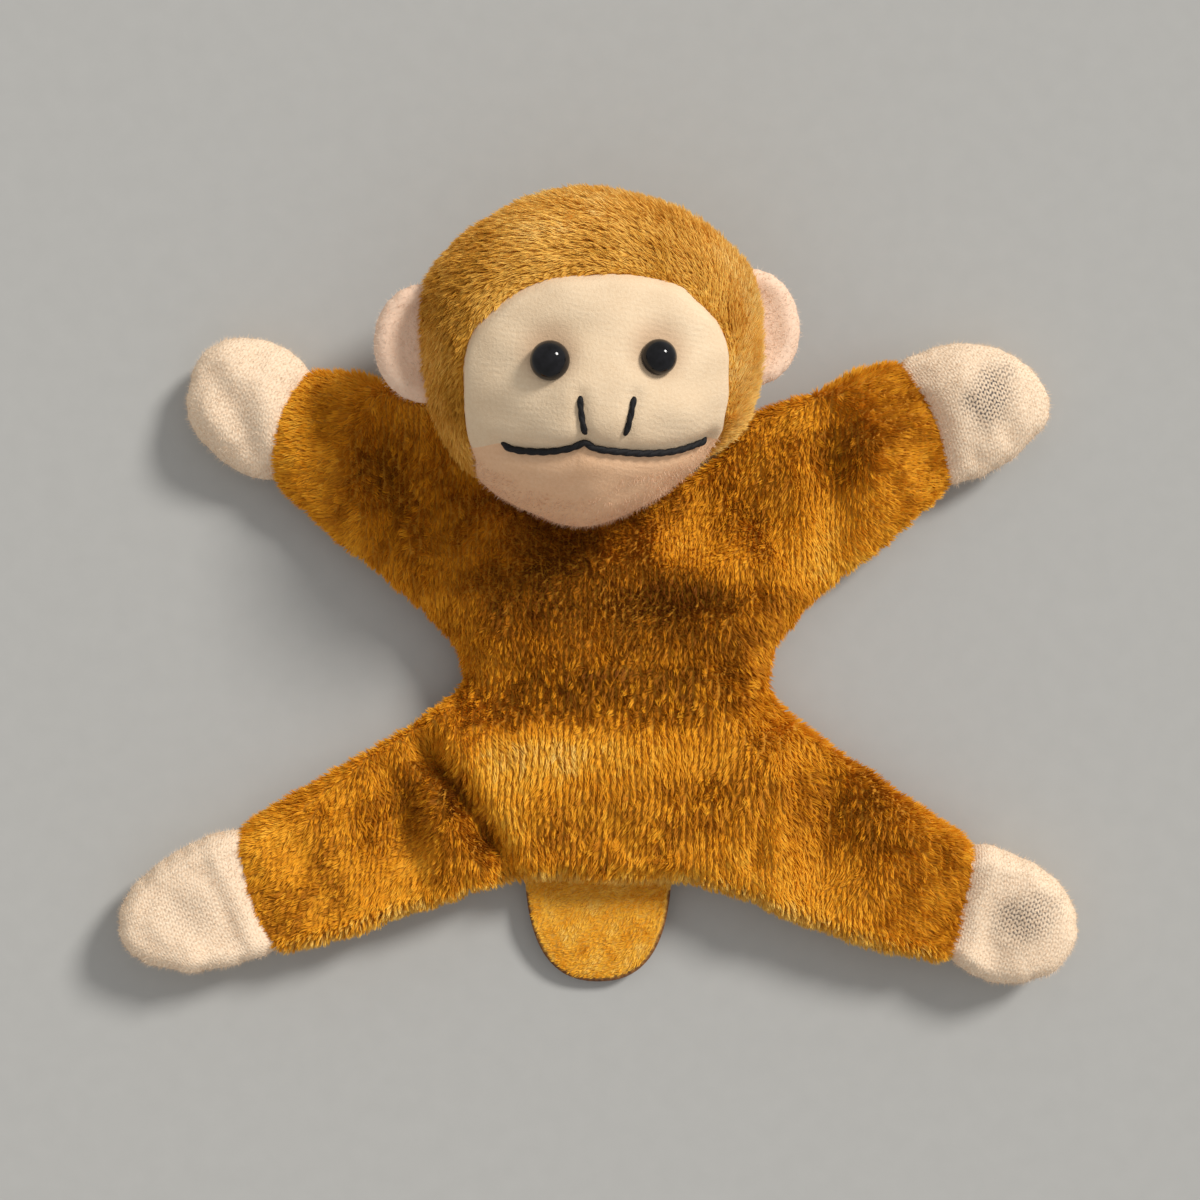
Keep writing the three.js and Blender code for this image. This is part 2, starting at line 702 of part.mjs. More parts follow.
// Tail: a flat tab with a round end, sewn into the seam under the seat.
const tailShape = new THREE.Shape();
tailShape.moveTo(tailWidth / 2, 0);
const flareX = tailFlare * tailWidth;
const flareY = -tailTaper * tailLength;
const tipX = tailRoundness * tailWidth;
tailShape.bezierCurveTo(flareX, flareY, tipX, -tailLength, 0, -tailLength);
tailShape.bezierCurveTo(-tipX, -tailLength, -flareX, flareY, -tailWidth / 2, 0);
tailShape.closePath();
const tailCut = { depth: tailThickness, bevelEnabled: false, curveSegments: 10 };
const tailTab = new THREE.ExtrudeGeometry(tailShape, tailCut);
const tail = piece('tail', tailTab, plush);
tail.position.set(tailX, torsoBottom - foldGap, seamHeight - tailThickness / 2);
toy.add(tail);

export default toy;
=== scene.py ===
import bpy
import bmesh
import math
import numpy as np
from mathutils import Matrix, Vector
from mathutils.geometry import delaunay_2d_cdt


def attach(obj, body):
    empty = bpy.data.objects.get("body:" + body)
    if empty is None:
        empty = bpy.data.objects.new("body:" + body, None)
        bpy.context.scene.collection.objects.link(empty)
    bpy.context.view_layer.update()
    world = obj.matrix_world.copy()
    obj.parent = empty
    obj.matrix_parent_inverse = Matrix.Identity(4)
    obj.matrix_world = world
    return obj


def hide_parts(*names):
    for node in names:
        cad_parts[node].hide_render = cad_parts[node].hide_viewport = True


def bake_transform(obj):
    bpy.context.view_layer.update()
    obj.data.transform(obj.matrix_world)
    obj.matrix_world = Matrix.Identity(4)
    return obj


# A plush monkey with a magnet in each paw, lying on its back. Work is in millimetres, meshes are in metres.
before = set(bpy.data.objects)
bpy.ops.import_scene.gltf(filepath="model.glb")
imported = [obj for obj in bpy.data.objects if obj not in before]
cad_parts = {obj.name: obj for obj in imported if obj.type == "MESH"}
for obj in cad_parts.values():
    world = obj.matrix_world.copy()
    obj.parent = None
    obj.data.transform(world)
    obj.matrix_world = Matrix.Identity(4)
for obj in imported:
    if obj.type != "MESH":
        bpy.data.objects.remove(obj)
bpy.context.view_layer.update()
mm = 0.001
tiny = 1e-9
fullTurn = 2 * math.pi
sides = {"left": -1, "right": 1}
print("frame loaded:", len(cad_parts), "nodes")


# Small helpers for numbers

def smooth(x, low, high):
    t = np.clip((np.asarray(x, float) - low) / (high - low), 0, 1)
    return t * t * (3 - 2 * t)


def mix(a, b, t):
    return a + (b - a) * t


def bell(x, width):  # 1 in the middle, falling off over that width
    return np.exp(-(x / width) ** 2)


def bulge(t, power=2, root=0.5):  # from 0 to 1, steep at first and flat at the end
    return (1 - (1 - np.clip(t, 0, 1)) ** power) ** root


def unit(v):
    return v / np.maximum(np.linalg.norm(v, axis=-1, keepdims=True), tiny)


def wobble(points, size, seed):  # smooth noise of that size, about -1 to 1
    draw, terms = np.random.default_rng(seed), 12
    ways = unit(draw.normal(size=(terms, 3))) * (fullTurn / size) * draw.uniform(0.6, 1.4, (terms, 1))
    return np.cos(points @ ways.T + draw.uniform(0, fullTurn, terms)).sum(1) / math.sqrt(terms)


def anglesIn(count):
    return np.linspace(0, fullTurn, count, endpoint=False)


def splineThrough(points, step=0.8):
    p = np.asarray(points, float)
    p = np.vstack([2 * p[0] - p[1], p, 2 * p[-1] - p[-2]])
    out = []
    for a, b, c, d in zip(p, p[1:], p[2:], p[3:]):
        n = max(2, int(np.linalg.norm(c - b) / step))
        t = np.linspace(0, 1, n, endpoint=False)[:, None]
        out.append(0.5 * (2 * b + (c - a) * t + (2 * a - 5 * b + 4 * c - d) * t ** 2
                          + (3 * b - a - 3 * c + d) * t ** 3))
    return np.vstack(out + [p[-2:-1]])


def bezier(a, b, c, d, n):
    t = np.linspace(0, 1, n)[:, None]
    a, b, c, d = (np.array(p, float) for p in (a, b, c, d))
    return a * (1 - t) ** 3 + 3 * b * t * (1 - t) ** 2 + 3 * c * t ** 2 * (1 - t) + d * t ** 3


def spaced(points, pitch):  # the same line with even steps, ends kept
    p = np.asarray(points, float)
    run = np.concatenate([[0], np.cumsum(np.linalg.norm(np.diff(p, axis=0), axis=1))])
    at = np.linspace(0, run[-1], max(2, round(run[-1] / pitch) + 1))
    return np.stack([np.interp(at, run, p[:, k]) for k in range(p.shape[1])], 1)


def shifted(line, distance):  # to the left of its run
    along = unit(np.gradient(line, axis=0))
    return line + distance * np.stack([-along[:, 1], along[:, 0]], 1)


def toLine(points, line):  # distance from each point to an open line
    a, b = line[:-1], line[1:]
    side = b - a
    t = np.einsum("nmk,mk->nm", points[:, None] - a, side) / np.maximum((side ** 2).sum(1), tiny)
    near = a + np.clip(t, 0, 1)[..., None] * side
    return np.linalg.norm(points[:, None] - near, axis=2).min(1)


def inside(points, outline):
    x, y = points[:, 0, None], points[:, 1, None]
    a, b = outline, np.roll(outline, -1, axis=0)
    crosses = (a[:, 1] > y) != (b[:, 1] > y)
    rise = np.where(b[:, 1] == a[:, 1], tiny, b[:, 1] - a[:, 1])
    at = a[:, 0] + (y - a[:, 1]) * (b[:, 0] - a[:, 0]) / rise
    return ((crosses & (x < at)).sum(1) % 2).astype(bool)


def closed(outline):
    return np.vstack([outline, outline[:1]])


# Small helpers for meshes

def newMesh(name, points, faces):
    points, faces = np.asarray(points, float) * mm, np.asarray(faces)
    data = bpy.data.meshes.new(name)
    data.vertices.add(len(points))
    data.vertices.foreach_set("co", points.astype(np.float32).ravel())
    data.loops.add(faces.size)
    data.loops.foreach_set("vertex_index", faces.astype(np.int32).ravel())
    data.polygons.add(len(faces))
    data.polygons.foreach_set("loop_start", np.arange(0, faces.size, faces.shape[1], dtype=np.int32))
    data.update(calc_edges=True)
    data.validate()
    data.shade_smooth()
    return linked(name, data)


def linked(name, data):
    made = bpy.data.objects.new(name, data)
    bpy.context.scene.collection.objects.link(made)
    return made


def read(items, key, width, kind):  # one row of values for each item
    values = np.zeros(len(items) * width, kind)
    items.foreach_get(key, values)
    return values.reshape(-1, width)


def pointsOf(data):
    return read(data.vertices, "co", 3, np.float32).astype(float) / mm


def normalsOf(data):
    return read(data.vertices, "normal", 3, np.float32).astype(float)


def trianglesOf(data):
    data.calc_loop_triangles()
    return read(data.loop_triangles, "vertices", 3, np.int32)


def setPoints(data, points):
    data.vertices.foreach_set("co", (points * mm).astype(np.float32).ravel())
    data.update()


def note(data, name, values):  # keeps a value or a vector on every point, for the finishes
    values = np.asarray(values, np.float32)
    kind, key = ("FLOAT", "value") if values.ndim == 1 else ("FLOAT_VECTOR", "vector")
    data.attributes.new(name, kind, "POINT").data.foreach_set(key, values.ravel())


def applied(piece):  # the piece with its modifier made real
    shown = piece.evaluated_get(bpy.context.evaluated_depsgraph_get())
    data = bpy.data.meshes.new_from_object(shown)
    piece.modifiers.clear()
    piece.data = data
    data.shade_smooth()
    return piece


def subdivided(piece):
    piece.modifiers.new("finer", "SUBSURF").levels = 1
    return applied(piece)


def thickened(piece, thickness):  # a closed panel from a sheet, grown inward
    solid = piece.modifiers.new("cloth", "SOLIDIFY")
    solid.thickness, solid.offset = thickness * mm, -1
    return applied(piece)


def filled(outline, lines, pitch):  # triangles inside an outline, with the lines kept as edges
    points, edges = [Vector(p) for p in outline], []
    border, clearance = list(range(len(points))), 0.6 * pitch
    for line in lines:
        first = len(points)
        points += [Vector(p) for p in line]
        edges += [(k, k + 1) for k in range(first, len(points) - 1)]
    low, high = outline.min(0), outline.max(0)
    grid = np.array([(x, y) for k, y in enumerate(np.arange(low[1], high[1], pitch * 0.87))
                     for x in np.arange(low[0] + (k % 2) * pitch / 2, high[0], pitch)])
    clear = inside(grid, outline)
    for line in [closed(outline), *lines]:
        clear &= toLine(grid, np.asarray(line)) > clearance
    points += [Vector(p) for p in grid[clear]]
    found = delaunay_2d_cdt(points, edges, [border], 1, 1e-4)
    xy = np.array([list(v) for v in found[0]])
    faces = np.array([f for f in found[2] if len(f) == 3])
    a, b, c = (xy[faces[:, k]] for k in range(3))
    turn = (b[:, 0] - a[:, 0]) * (c[:, 1] - a[:, 1]) - (b[:, 1] - a[:, 1]) * (c[:, 0] - a[:, 0])
    faces[turn < 0] = faces[turn < 0][:, ::-1]
    return xy, faces[np.abs(turn) > 1e-6]


def openEdges(faces):  # the edges with a face on one side only, in that face's order
    e = np.concatenate([faces[:, [0, 1]], faces[:, [1, 2]], faces[:, [2, 0]]])
    found, where, uses = np.unique(np.sort(e, axis=1), axis=0, return_index=True, return_counts=True)
    return e[where[uses == 1]]


def twoSided(xy, faces, front, back, seam):  # a closed bag from one flat cut
    border = np.zeros(len(xy), bool)
    border[openEdges(faces)] = True
    lower = np.arange(len(xy))
    lower[~border] = len(xy) + np.arange((~border).sum())
    top = np.column_stack([xy, np.where(border, seam, front)])
    under = np.column_stack([xy, np.where(border, seam, back)])[~border]
    return np.vstack([top, under]), np.vstack([faces, lower[faces][:, ::-1]]), border


def tube(rings, ends):  # a closed skin over rows of rings, with a point at each end
    rows, around = rings.shape[:2]
    k = np.arange(around)
    after = (k + 1) % around
    row = np.arange(rows - 1)[:, None] * around
    a, b = row + k, row + after
    start, last = rows * around, (rows - 1) * around
    faces = [np.stack([a, b, a + around], 2).reshape(-1, 3),
             np.stack([b, b + around, a + around], 2).reshape(-1, 3),
             np.stack([np.full(around, start), after, k], 1),
             np.stack([np.full(around, start + 1), last + k, last + after], 1)]
    return np.vstack([rings.reshape(-1, 3), ends]), np.vstack(faces)


# Finishes: shader sums are written as Python expressions

class Value:
    def __init__(self, finish, socket):
        self.finish, self.socket = finish, socket

    def sum(self, operation, *others):
        return self.finish.node("Math", {"operation": operation}, dict(enumerate([self, *others])))

    def __add__(self, other): return self.sum("ADD", other)
    def __sub__(self, other): return self.sum("SUBTRACT", other)
    def __rsub__(self, other): return self.finish.node("Math", {"operation": "SUBTRACT"}, {0: other, 1: self})
    def __mul__(self, other): return self.sum("MULTIPLY", other)
    def __truediv__(self, other): return self.sum("DIVIDE", other)
    def __pow__(self, other): return self.sum("POWER", other)
    def abs(self): return self.sum("ABSOLUTE")
    def sin(self): return self.sum("SINE")
    def fract(self): return self.sum("FRACT")
    def clip(self): return self.finish.node("Clamp", {}, {0: self})

    def step(self, low, high):  # 0 below low, 1 above high, smooth between
        return self.finish.node("MapRange", {"interpolation_type": "SMOOTHSTEP"}, {0: self, 1: low, 2: high})


class Finish:
    def __init__(self, name, **constants):
        self.material = bpy.data.materials.new(name)
        self.material.use_nodes = True
        self.tree = self.material.node_tree
        self.shader = self.tree.nodes["Principled BSDF"]
        self.use(**constants)

    def feed(self, socket, value):
        if isinstance(value, Value):
            self.tree.links.new(value.socket, socket)
        elif hasattr(socket.default_value, "__len__") and len(socket.default_value) == 4 and len(value) == 3:
            socket.default_value = (*value, 1)
        else:
            socket.default_value = value

    def node(self, kind, settings=None, sockets=None, out=0):
        made = self.tree.nodes.new("ShaderNode" + kind)
        for key, value in (settings or {}).items():
            setattr(made, key, value)
        for key, value in (sockets or {}).items():
            self.feed(made.inputs[key], value)
        return Value(self, made.outputs[out])

    def kept(self, name, out="Vector"):  # what note() wrote on the points
        return self.node("Attribute", {"attribute_name": name}, out=out)

    def place(self):
        return self.node("TexCoord", out="Object")

    def parts(self, vector):
        split = self.node("SeparateXYZ", {}, {0: vector})
        return [Value(self, split.socket.node.outputs[k]) for k in range(3)]

    def noise(self, place, scale, detail=2.0, rough=0.5):
        return self.node("TexNoise", {}, {"Vector": place, "Scale": scale, "Detail": detail, "Roughness": rough})

    def ramp(self, value, *stops):
        made = self.node("ValToRGB", {}, {0: value})
        ramp = made.socket.node.color_ramp
        while len(ramp.elements) < len(stops):
            ramp.elements.new(1)
        for stop, (place, colour) in zip(ramp.elements, stops):
            stop.position, stop.color = place, (*colour, 1)
        return made

    def blend(self, share, a, b):
        return self.node("Mix", {"data_type": "RGBA"}, {0: share, 6: a, 7: b}, out=2)

    def bump(self, height, strength, distance):
        return self.node("Bump", {}, {"Strength": strength, "Distance": distance, "Height": height})

    def use(self, **sockets):
        for key, value in sockets.items():
            self.feed(self.shader.inputs[key.replace("_", " ")], value)
        return self

    def on(self, *pieces):
        for piece in pieces:
            piece.data.materials.clear()
            piece.data.materials.append(self.material)


def grainFinish(name, deep, pale, scale, detail, bump=None, gloss=None, **constants):  # two colours in a fine grain
    f = Finish(name, **constants)
    grain = f.noise(f.place(), scale, detail)
    f.use(Base_Color=f.ramp(grain, (0.3, deep), (0.7, pale)))
    if bump:
        f.use(Normal=f.bump(grain, *bump))
    if gloss:
        f.use(Roughness=grain * gloss[0] + gloss[1])
    return f


# Stage, light and camera

stagePlan = {"floor": (0.445, 0.445, 0.435), "grain": (0.985, 1.015), "floorReach": 40000,
             "sky": (1.0, 0.985, 0.96), "skyStrength": 0.5,
             "keyWay": (0.66, 0.56, 0.62), "keySpread": 14.0, "keyStrength": 2.72, "keyTint": (1, 0.97, 0.92)}
lensPlan = {"x": -1.74, "y": 0.0, "height": 320.0, "lens": 65.28, "sensor": 36, "clip": (0.01, 100)}


def setStage():
    lens = bpy.data.cameras.new("camera")
    lens.lens, lens.sensor_width = lensPlan["lens"], lensPlan["sensor"]
    lens.clip_start, lens.clip_end = lensPlan["clip"]
    camera = linked("camera", lens)
    camera.location = [lensPlan[k] * mm for k in ("x", "y", "height")]
    bpy.context.scene.camera = camera
    reach = stagePlan["floorReach"]
    corners = [(-reach, -reach, 0), (reach, -reach, 0), (reach, reach, 0), (-reach, reach, 0)]
    floor = newMesh("floor", corners, [(0, 1, 2, 3)])
    deep, pale = (tuple(c * share for c in stagePlan["floor"]) for share in stagePlan["grain"])
    grainFinish("floor", deep, pale, 300, 3, Roughness=0.9).on(floor)
    world = bpy.data.worlds.new("studio")
    world.use_nodes = True
    back = world.node_tree.nodes["Background"]
    back.inputs[0].default_value = (*stagePlan["sky"], 1)
    back.inputs[1].default_value = stagePlan["skyStrength"]
    bpy.context.scene.world = world
    lamp = bpy.data.lights.new("key", "SUN")
    lamp.energy, lamp.color = stagePlan["keyStrength"], stagePlan["keyTint"]
    lamp.angle = math.radians(stagePlan["keySpread"])
    key = linked("key", lamp)
    key.rotation_mode = "QUATERNION"
    key.rotation_quaternion = Vector(stagePlan["keyWay"]).to_track_quat("Z", "Y")
    bpy.context.scene.view_settings.view_transform = "Standard"


setStage()
print("stage set")


# Body: one stuffed skin for torso, sleeves and paws, cut from one outline

bodyPlan = {"seam": 4.5, "pileReach": 1.0, "pitch": 1.5, "pawFull": 0.9, "beside": 20.0,
            "seat": [(-26.4, -45.0), (-14, -41.3), (0, -41.5), (14, -42.2), (26.4, -46.9)],
            "flank": [(26.8, -16), (23.9, -9.5), (29.4, -1)],
            "leftFlank": [(-29, -1), (-22.8, -9.5), (-26.8, -15.3)],
            "shoulder": [(29, 31.0), (22.5, 28.8), (17.5, 26.0)], "neckBend": 13.0, "neckDip": 13.2,
            "torsoCrown": 5.8, "chestCrown": 3.6, "limbCrown": 4.8, "pawCrown": 4.2,
            "rounding": 8.5, "hemRounding": 3.2, "backRounding": 5.0, "backGap": 0.9, "pawGap": 0.12,
            "armSplit": 26.0, "legSplit": 22.8, "waist": -9.5, "armEnd": 34.0, "legEnd": -50.0,
            "armFold": 32.0, "legFold": 29.0, "foldDip": 0.8, "foldWide": 4.5,
            "cuffWide": 0.9, "cuffPinch": 0.45, "cuffDip": 0.55, "discRise": 0.3, "discEdge": (4.2, 6.2),
            "unevenness": 0.28, "pawUnevenness": 0.18, "shoulderOfCrease": 0.22,
            "armBend": (27.5, 41.0), "legBend": (24.0, 39.4), "pawBend": (0.6, 9.4)}
limbPlan = {
    "arm_left": {"side": -1, "top": (-43.1, 34.6), "low": (-48.9, 15.7), "swell": (0.8, 0.4),
                 "paw": "hand_left", "show": 0.12, "magnet": 6.8, "bow": 1.5,
                 "tip": [(-53.2, 18.5), (-56.5, 20.8), (-59, 23.3), (-60.7, 26.2), (-61.1, 29), (-60.5, 32),
                         (-59.2, 34.7), (-57, 36.7), (-54, 37.5), (-50.5, 37), (-47, 35.8)]},
    "arm_right": {"side": 1, "top": (40.8, 35.4), "low": (49.2, 15.2), "swell": (0.8, 0.3),
                  "paw": "hand_right", "show": 1.0, "magnet": 8.5, "bow": 1.3,
                  "tip": [(53.6, 18.4), (57.6, 20.9), (60.6, 23.6), (62.6, 26.2), (62.9, 28.4), (62.1, 30.7),
                          (60.5, 32.7), (58.4, 34.6), (55.6, 36), (52.6, 36.7), (49.6, 36.8), (46.4, 36)]},
    "leg_left": {"side": -1, "top": (-53.9, -31.5), "low": (-47.2, -51.6), "swell": (0.0, 0.4),
                 "paw": "foot_left", "show": 0.3, "magnet": 9.7, "bow": 1.6,
                 "tip": [(-51, -51.1), (-55, -52.4), (-60, -53.2), (-65, -52.8), (-69, -51), (-70.9, -47.8),
                         (-70.5, -44.4), (-68.2, -41), (-63.5, -37.3), (-58, -34.4)]},
    "leg_right": {"side": 1, "top": (52.3, -33.9), "low": (47.8, -53.0), "swell": (0.0, 0.8),
                  "paw": "foot_right", "show": 0.85, "magnet": 8.9, "bow": 0.4,
                  "tip": [(52.5, -54), (56, -54.8), (60, -54.7), (63.4, -53.4), (65.9, -51), (66.8, -48.4),
                          (66.6, -45.5), (65, -42.1), (62, -39.3), (58, -37.3), (54.8, -36.1)]},
}
for limb in limbPlan.values():  # the frame of each paw: out along the limb, and up along its cuff
    top, low = np.array(limb["top"]), np.array(limb["low"])
    limb["middle"] = (top + low) / 2
    limb["half"] = np.linalg.norm(top - low) / 2
    limb["up"] = (top - low) / np.linalg.norm(top - low)
    limb["out"] = limb["side"] * np.array([limb["up"][1], -limb["up"][0]])
bodyParts = ["torso", *limbPlan, *[limb["paw"] for limb in limbPlan.values()]]


def cuffBow(limb, up):  # how far the cuff's seam bows out over the paw
    return limb["bow"] * np.maximum(0, 1 - (up / (limb["half"] - bodyPlan["pileReach"])) ** 2)


def pawFrame(limb, points):  # out from the cuff, and up along it
    away = points[:, :2] - limb["middle"]
    up = away @ limb["up"]
    return away @ limb["out"] - cuffBow(limb, up), up


def pawArc(limb):  # drawn a little full, because the cloth draws in as it fills
    return shifted(splineThrough(limb["tip"]), -bodyPlan["pawFull"] * limb["side"])


def edgeMiddle(root, limb, end):  # halfway along a limb's edge, a little full
    swell = limb["swell"][0] if end == "top" else -limb["swell"][1]
    return (np.array(root) + np.array(limb[end])) / 2 + limb["up"] * swell


def clothEdge(first, points, last):  # from cuff to cuff, the corners drawn in by the pile
    reach = bodyPlan["pileReach"]
    line = shifted(splineThrough([first[0][first[1]], *points, last[0][last[1]]]), reach)
    start, stop = (np.array(limb[end]) + limb["up"] * (reach if end == "low" else -reach)
                   for limb, end in (first, last))
    return spaced(np.vstack([start, line[3:-3], stop]), bodyPlan["pitch"])


def bodyOutline():
    armLeft, armRight, legLeft, legRight = limbPlan.values()
    seat, flank, leftFlank, shoulder = (bodyPlan[k] for k in ("seat", "flank", "leftFlank", "shoulder"))
    leftShoulder = [(-x, y) for x, y in shoulder[::-1]]
    bend, dip = bodyPlan["neckBend"], bodyPlan["neckDip"]
    neck = bezier(shoulder[-1], (bend, dip), (-bend, dip), leftShoulder[0], 9)[1:-1]
    edges = [clothEdge((legLeft, "low"), [edgeMiddle(seat[0], legLeft, "low"), *seat,
                                          edgeMiddle(seat[-1], legRight, "low")], (legRight, "low")),
             clothEdge((legRight, "top"), [*flank, edgeMiddle(flank[-1], armRight, "low")], (armRight, "low")),
             clothEdge((armRight, "top"), [edgeMiddle(shoulder[0], armRight, "top"), *shoulder, *neck, *leftShoulder,
                                           edgeMiddle(leftShoulder[-1], armLeft, "top")], (armLeft, "top")),
             clothEdge((armLeft, "low"), [edgeMiddle(leftFlank[0], armLeft, "low"), *leftFlank], (legLeft, "top"))]
    paws = [pawArc(legRight), pawArc(armRight), pawArc(armLeft)[::-1], pawArc(legLeft)[::-1]]
    line = []
    for edge, paw, after in zip(edges, paws, edges[1:] + edges[:1]):
        line += [edge, spaced(np.vstack([edge[-1], paw, after[0]]), bodyPlan["pitch"])[1:-1]]
    return np.vstack(line)


def cuffLine(limb):
    reach = limb["half"] - bodyPlan["pileReach"]
    up = np.linspace(-reach, reach, 25)[:, None]
    return spaced(limb["middle"] + up * limb["up"] + cuffBow(limb, up) * limb["out"], bodyPlan["pitch"])


def splitLines():  # where the limbs are cut from the torso
    start = bodyPlan["waist"] + 0.5
    return [spaced([(sign * bodyPlan[split], start), (sign * bodyPlan[split], bodyPlan[end])], bodyPlan["pitch"])
            for sign in sides.values() for split, end in (("armSplit", "armEnd"), ("legSplit", "legEnd"))]


def partOf(points):  # the number in bodyParts of what each point belongs to
    part = np.zeros(len(points), int)
    for k, limb in enumerate(limbPlan.values()):
        isArm = limb["top"][1] > 0
        split = bodyPlan["armSplit" if isArm else "legSplit"]
        ofLimb = (points[:, 0] * limb["side"] > split) & ((points[:, 1] > bodyPlan["waist"]) == isArm)
        part[ofLimb] = 1 + k
        part[ofLimb & (pawFrame(limb, points)[0] > 0)] = 1 + len(limbPlan) + k
    return part


def bodyHeights(xy, outline):
    plan = bodyPlan
    depth, side = toLine(xy, closed(outline)), np.abs(xy[:, 0])
    crown = mix(plan["torsoCrown"], plan["chestCrown"], smooth(xy[:, 1], -4, 15))
    crown = mix(crown, plan["limbCrown"], smooth(side, 22, 34))
    pad, gap = plan["pileReach"], plan["backGap"]
    for limb in limbPlan.values():
        out, up = pawFrame(limb, xy)
        near = (np.abs(up) < limb["half"] + 2) & (xy[:, 0] * limb["side"] > plan["beside"])
        inPaw = np.where(near, smooth(out, -2, 4), 0)
        crown, pad = mix(crown, plan["pawCrown"], inPaw), mix(pad, 0, inPaw)
        gap = mix(gap, plan["pawGap"], inPaw)
    fold = side - np.where(xy[:, 1] > plan["waist"], plan["armFold"], plan["legFold"])
    crown = crown - pad - plan["foldDip"] * bell(fold, plan["foldWide"])
    rounding = mix(plan["rounding"], plan["hemRounding"], smooth(-xy[:, 1], 26, 37))
    front = plan["seam"] + crown * bulge(depth / rounding, 2.2, 0.62)
    back = plan["seam"] - (plan["seam"] - gap) * bulge(depth / plan["backRounding"])
    return front, back


clothPlan = {"quality": 6, "mass": 0.3, "tension_stiffness": 12, "compression_stiffness": 12, "shear_stiffness": 4,
             "bending_stiffness": 1.2, "use_pressure": True, "uniform_pressure_force": 3.0, "shrink_min": -0.035}
runPlan = {"steps": 18, "cap": 1.6, "scale": 4.0}


def simulate(piece, held):  # inflates the bag a little, with spare cloth, and caps how far it goes
    scene, start = bpy.context.scene, pointsOf(piece.data)
    trial = linked("trial", piece.data.copy())
    setPoints(trial.data, start * runPlan["scale"])
    trial.vertex_groups.new(name="held").add([int(k) for k in np.flatnonzero(held)], 1.0, "REPLACE")
    cloth = trial.modifiers.new("cloth", "CLOTH")
    for key, value in clothPlan.items():
        setattr(cloth.settings, key, value)
    cloth.settings.vertex_group_mass = "held"
    cloth.settings.effector_weights.gravity = 0
    cloth.point_cache.frame_start, cloth.point_cache.frame_end = 1, runPlan["steps"]
    for step in range(1, runPlan["steps"] + 1):
        scene.frame_set(step)
    shown = trial.evaluated_get(bpy.context.evaluated_depsgraph_get())
    move = pointsOf(shown.data) / runPlan["scale"] - start
    bpy.data.objects.remove(trial)
    scene.frame_set(1)
    size = np.linalg.norm(move, axis=1, keepdims=True)
    setPoints(piece.data, start + move * np.minimum(1, runPlan["cap"] / np.maximum(size, tiny)))
    print("cloth settled, mean move %.2f mm, most %.2f mm" % (size.mean(), size.max()))


# creases that the stuffing leaves: the line, how deep and how wide
creases = [([(-27.0, -21.0), (-22.0, -27.0), (-18.2, -33.0), (-14.2, -39.5)], 2.8, 2.0),
           ([(22.8, -27.0), (21.4, -32.0), (20.4, -37.5)], 0.9, 1.3),
           ([(-18, -13.6), (-6, -14.6), (6, -15.0), (21, -16.8)], 1.1, 4.0),
           ([(3, 0.5), (12, 0.3), (20, 1.6)], 0.9, 2.6),
           ([(16, 8.0), (24, 12.0), (31, 18.5)], 0.8, 3.0),
           ([(-19, 6.5), (-26, 13), (-33, 19)], 0.7, 3.4),
           ([(-33, -20.5), (-30, -28.0), (-31.5, -36.0)], 0.8, 2.4),
           ([(30, -22.5), (32, -30.0), (30, -39.0)], 0.7, 2.6),
           ([(2, -8.0), (13, -8.6), (19, -9.8)], 0.6, 2.2),
           ([(-56.6, 32.0), (-53.4, 25.8), (-50.0, 18.4)], 1.0, 2.2)]


def sculptBody(points):  # creases, drawn-in cuffs and the discs under the knit
    plan, seam = bodyPlan, bodyPlan["seam"]
    facing = smooth(points[:, 2], seam + 0.3, seam + 2.5)
    for line, deep, wide in creases:
        away = toLine(points[:, :2], splineThrough(line, 1.0))
        points[:, 2] -= facing * deep * (bell(away, wide) - plan["shoulderOfCrease"] * bell(away - 2 * wide, wide))
    points[:, 2] += facing * plan["unevenness"] * wobble(points, 15, 3)
    for limb in limbPlan.values():
        out, up = pawFrame(limb, points)
        near = np.abs(up) < limb["half"] + 1
        beside = points[:, 0] * limb["side"] > plan["beside"]
        cuff = np.where(near & beside, bell(out, plan["cuffWide"]), 0)
        pinch = cuff * plan["cuffPinch"] * np.sign(up) * smooth(np.abs(up), 3, 8)
        points[:, :2] -= pinch[:, None] * limb["up"]
        points[:, 2] -= cuff * plan["cuffDip"] * (points[:, 2] > seam)
        disc = 1 - smooth(np.hypot(out - limb["magnet"], up), *plan["discEdge"])
        points[:, 2] += np.where(beside, facing * plan["discRise"] * disc, 0)
        soft = facing * smooth(out, 1, 5) * plan["pawUnevenness"] * wobble(points, 7, 11)
        points[:, 2] += np.where(beside & near, soft, 0)
    return points


def makeBody():
    outline = bodyOutline()
    lines = [cuffLine(limb) for limb in limbPlan.values()] + splitLines()
    xy, faces = filled(outline, lines, bodyPlan["pitch"])
    front, back = bodyHeights(xy, outline)
    points, faces, border = twoSided(xy, faces, front, back, bodyPlan["seam"])
    bag = newMesh("body_bag", points, faces)
    part = partOf(points[faces].mean(1)).astype(np.int32)
    bag.data.attributes.new("part", "INT", "FACE").data.foreach_set("value", part)
    held = np.ones(len(points), bool)
    held[:len(xy)] = border
    simulate(bag, held)
    subdivided(bag)
    points = sculptBody(pointsOf(bag.data))
    points[:, 2] = np.maximum(points[:, 2], bodyPlan["pawGap"])
    setPoints(bag.data, points)
    return bag


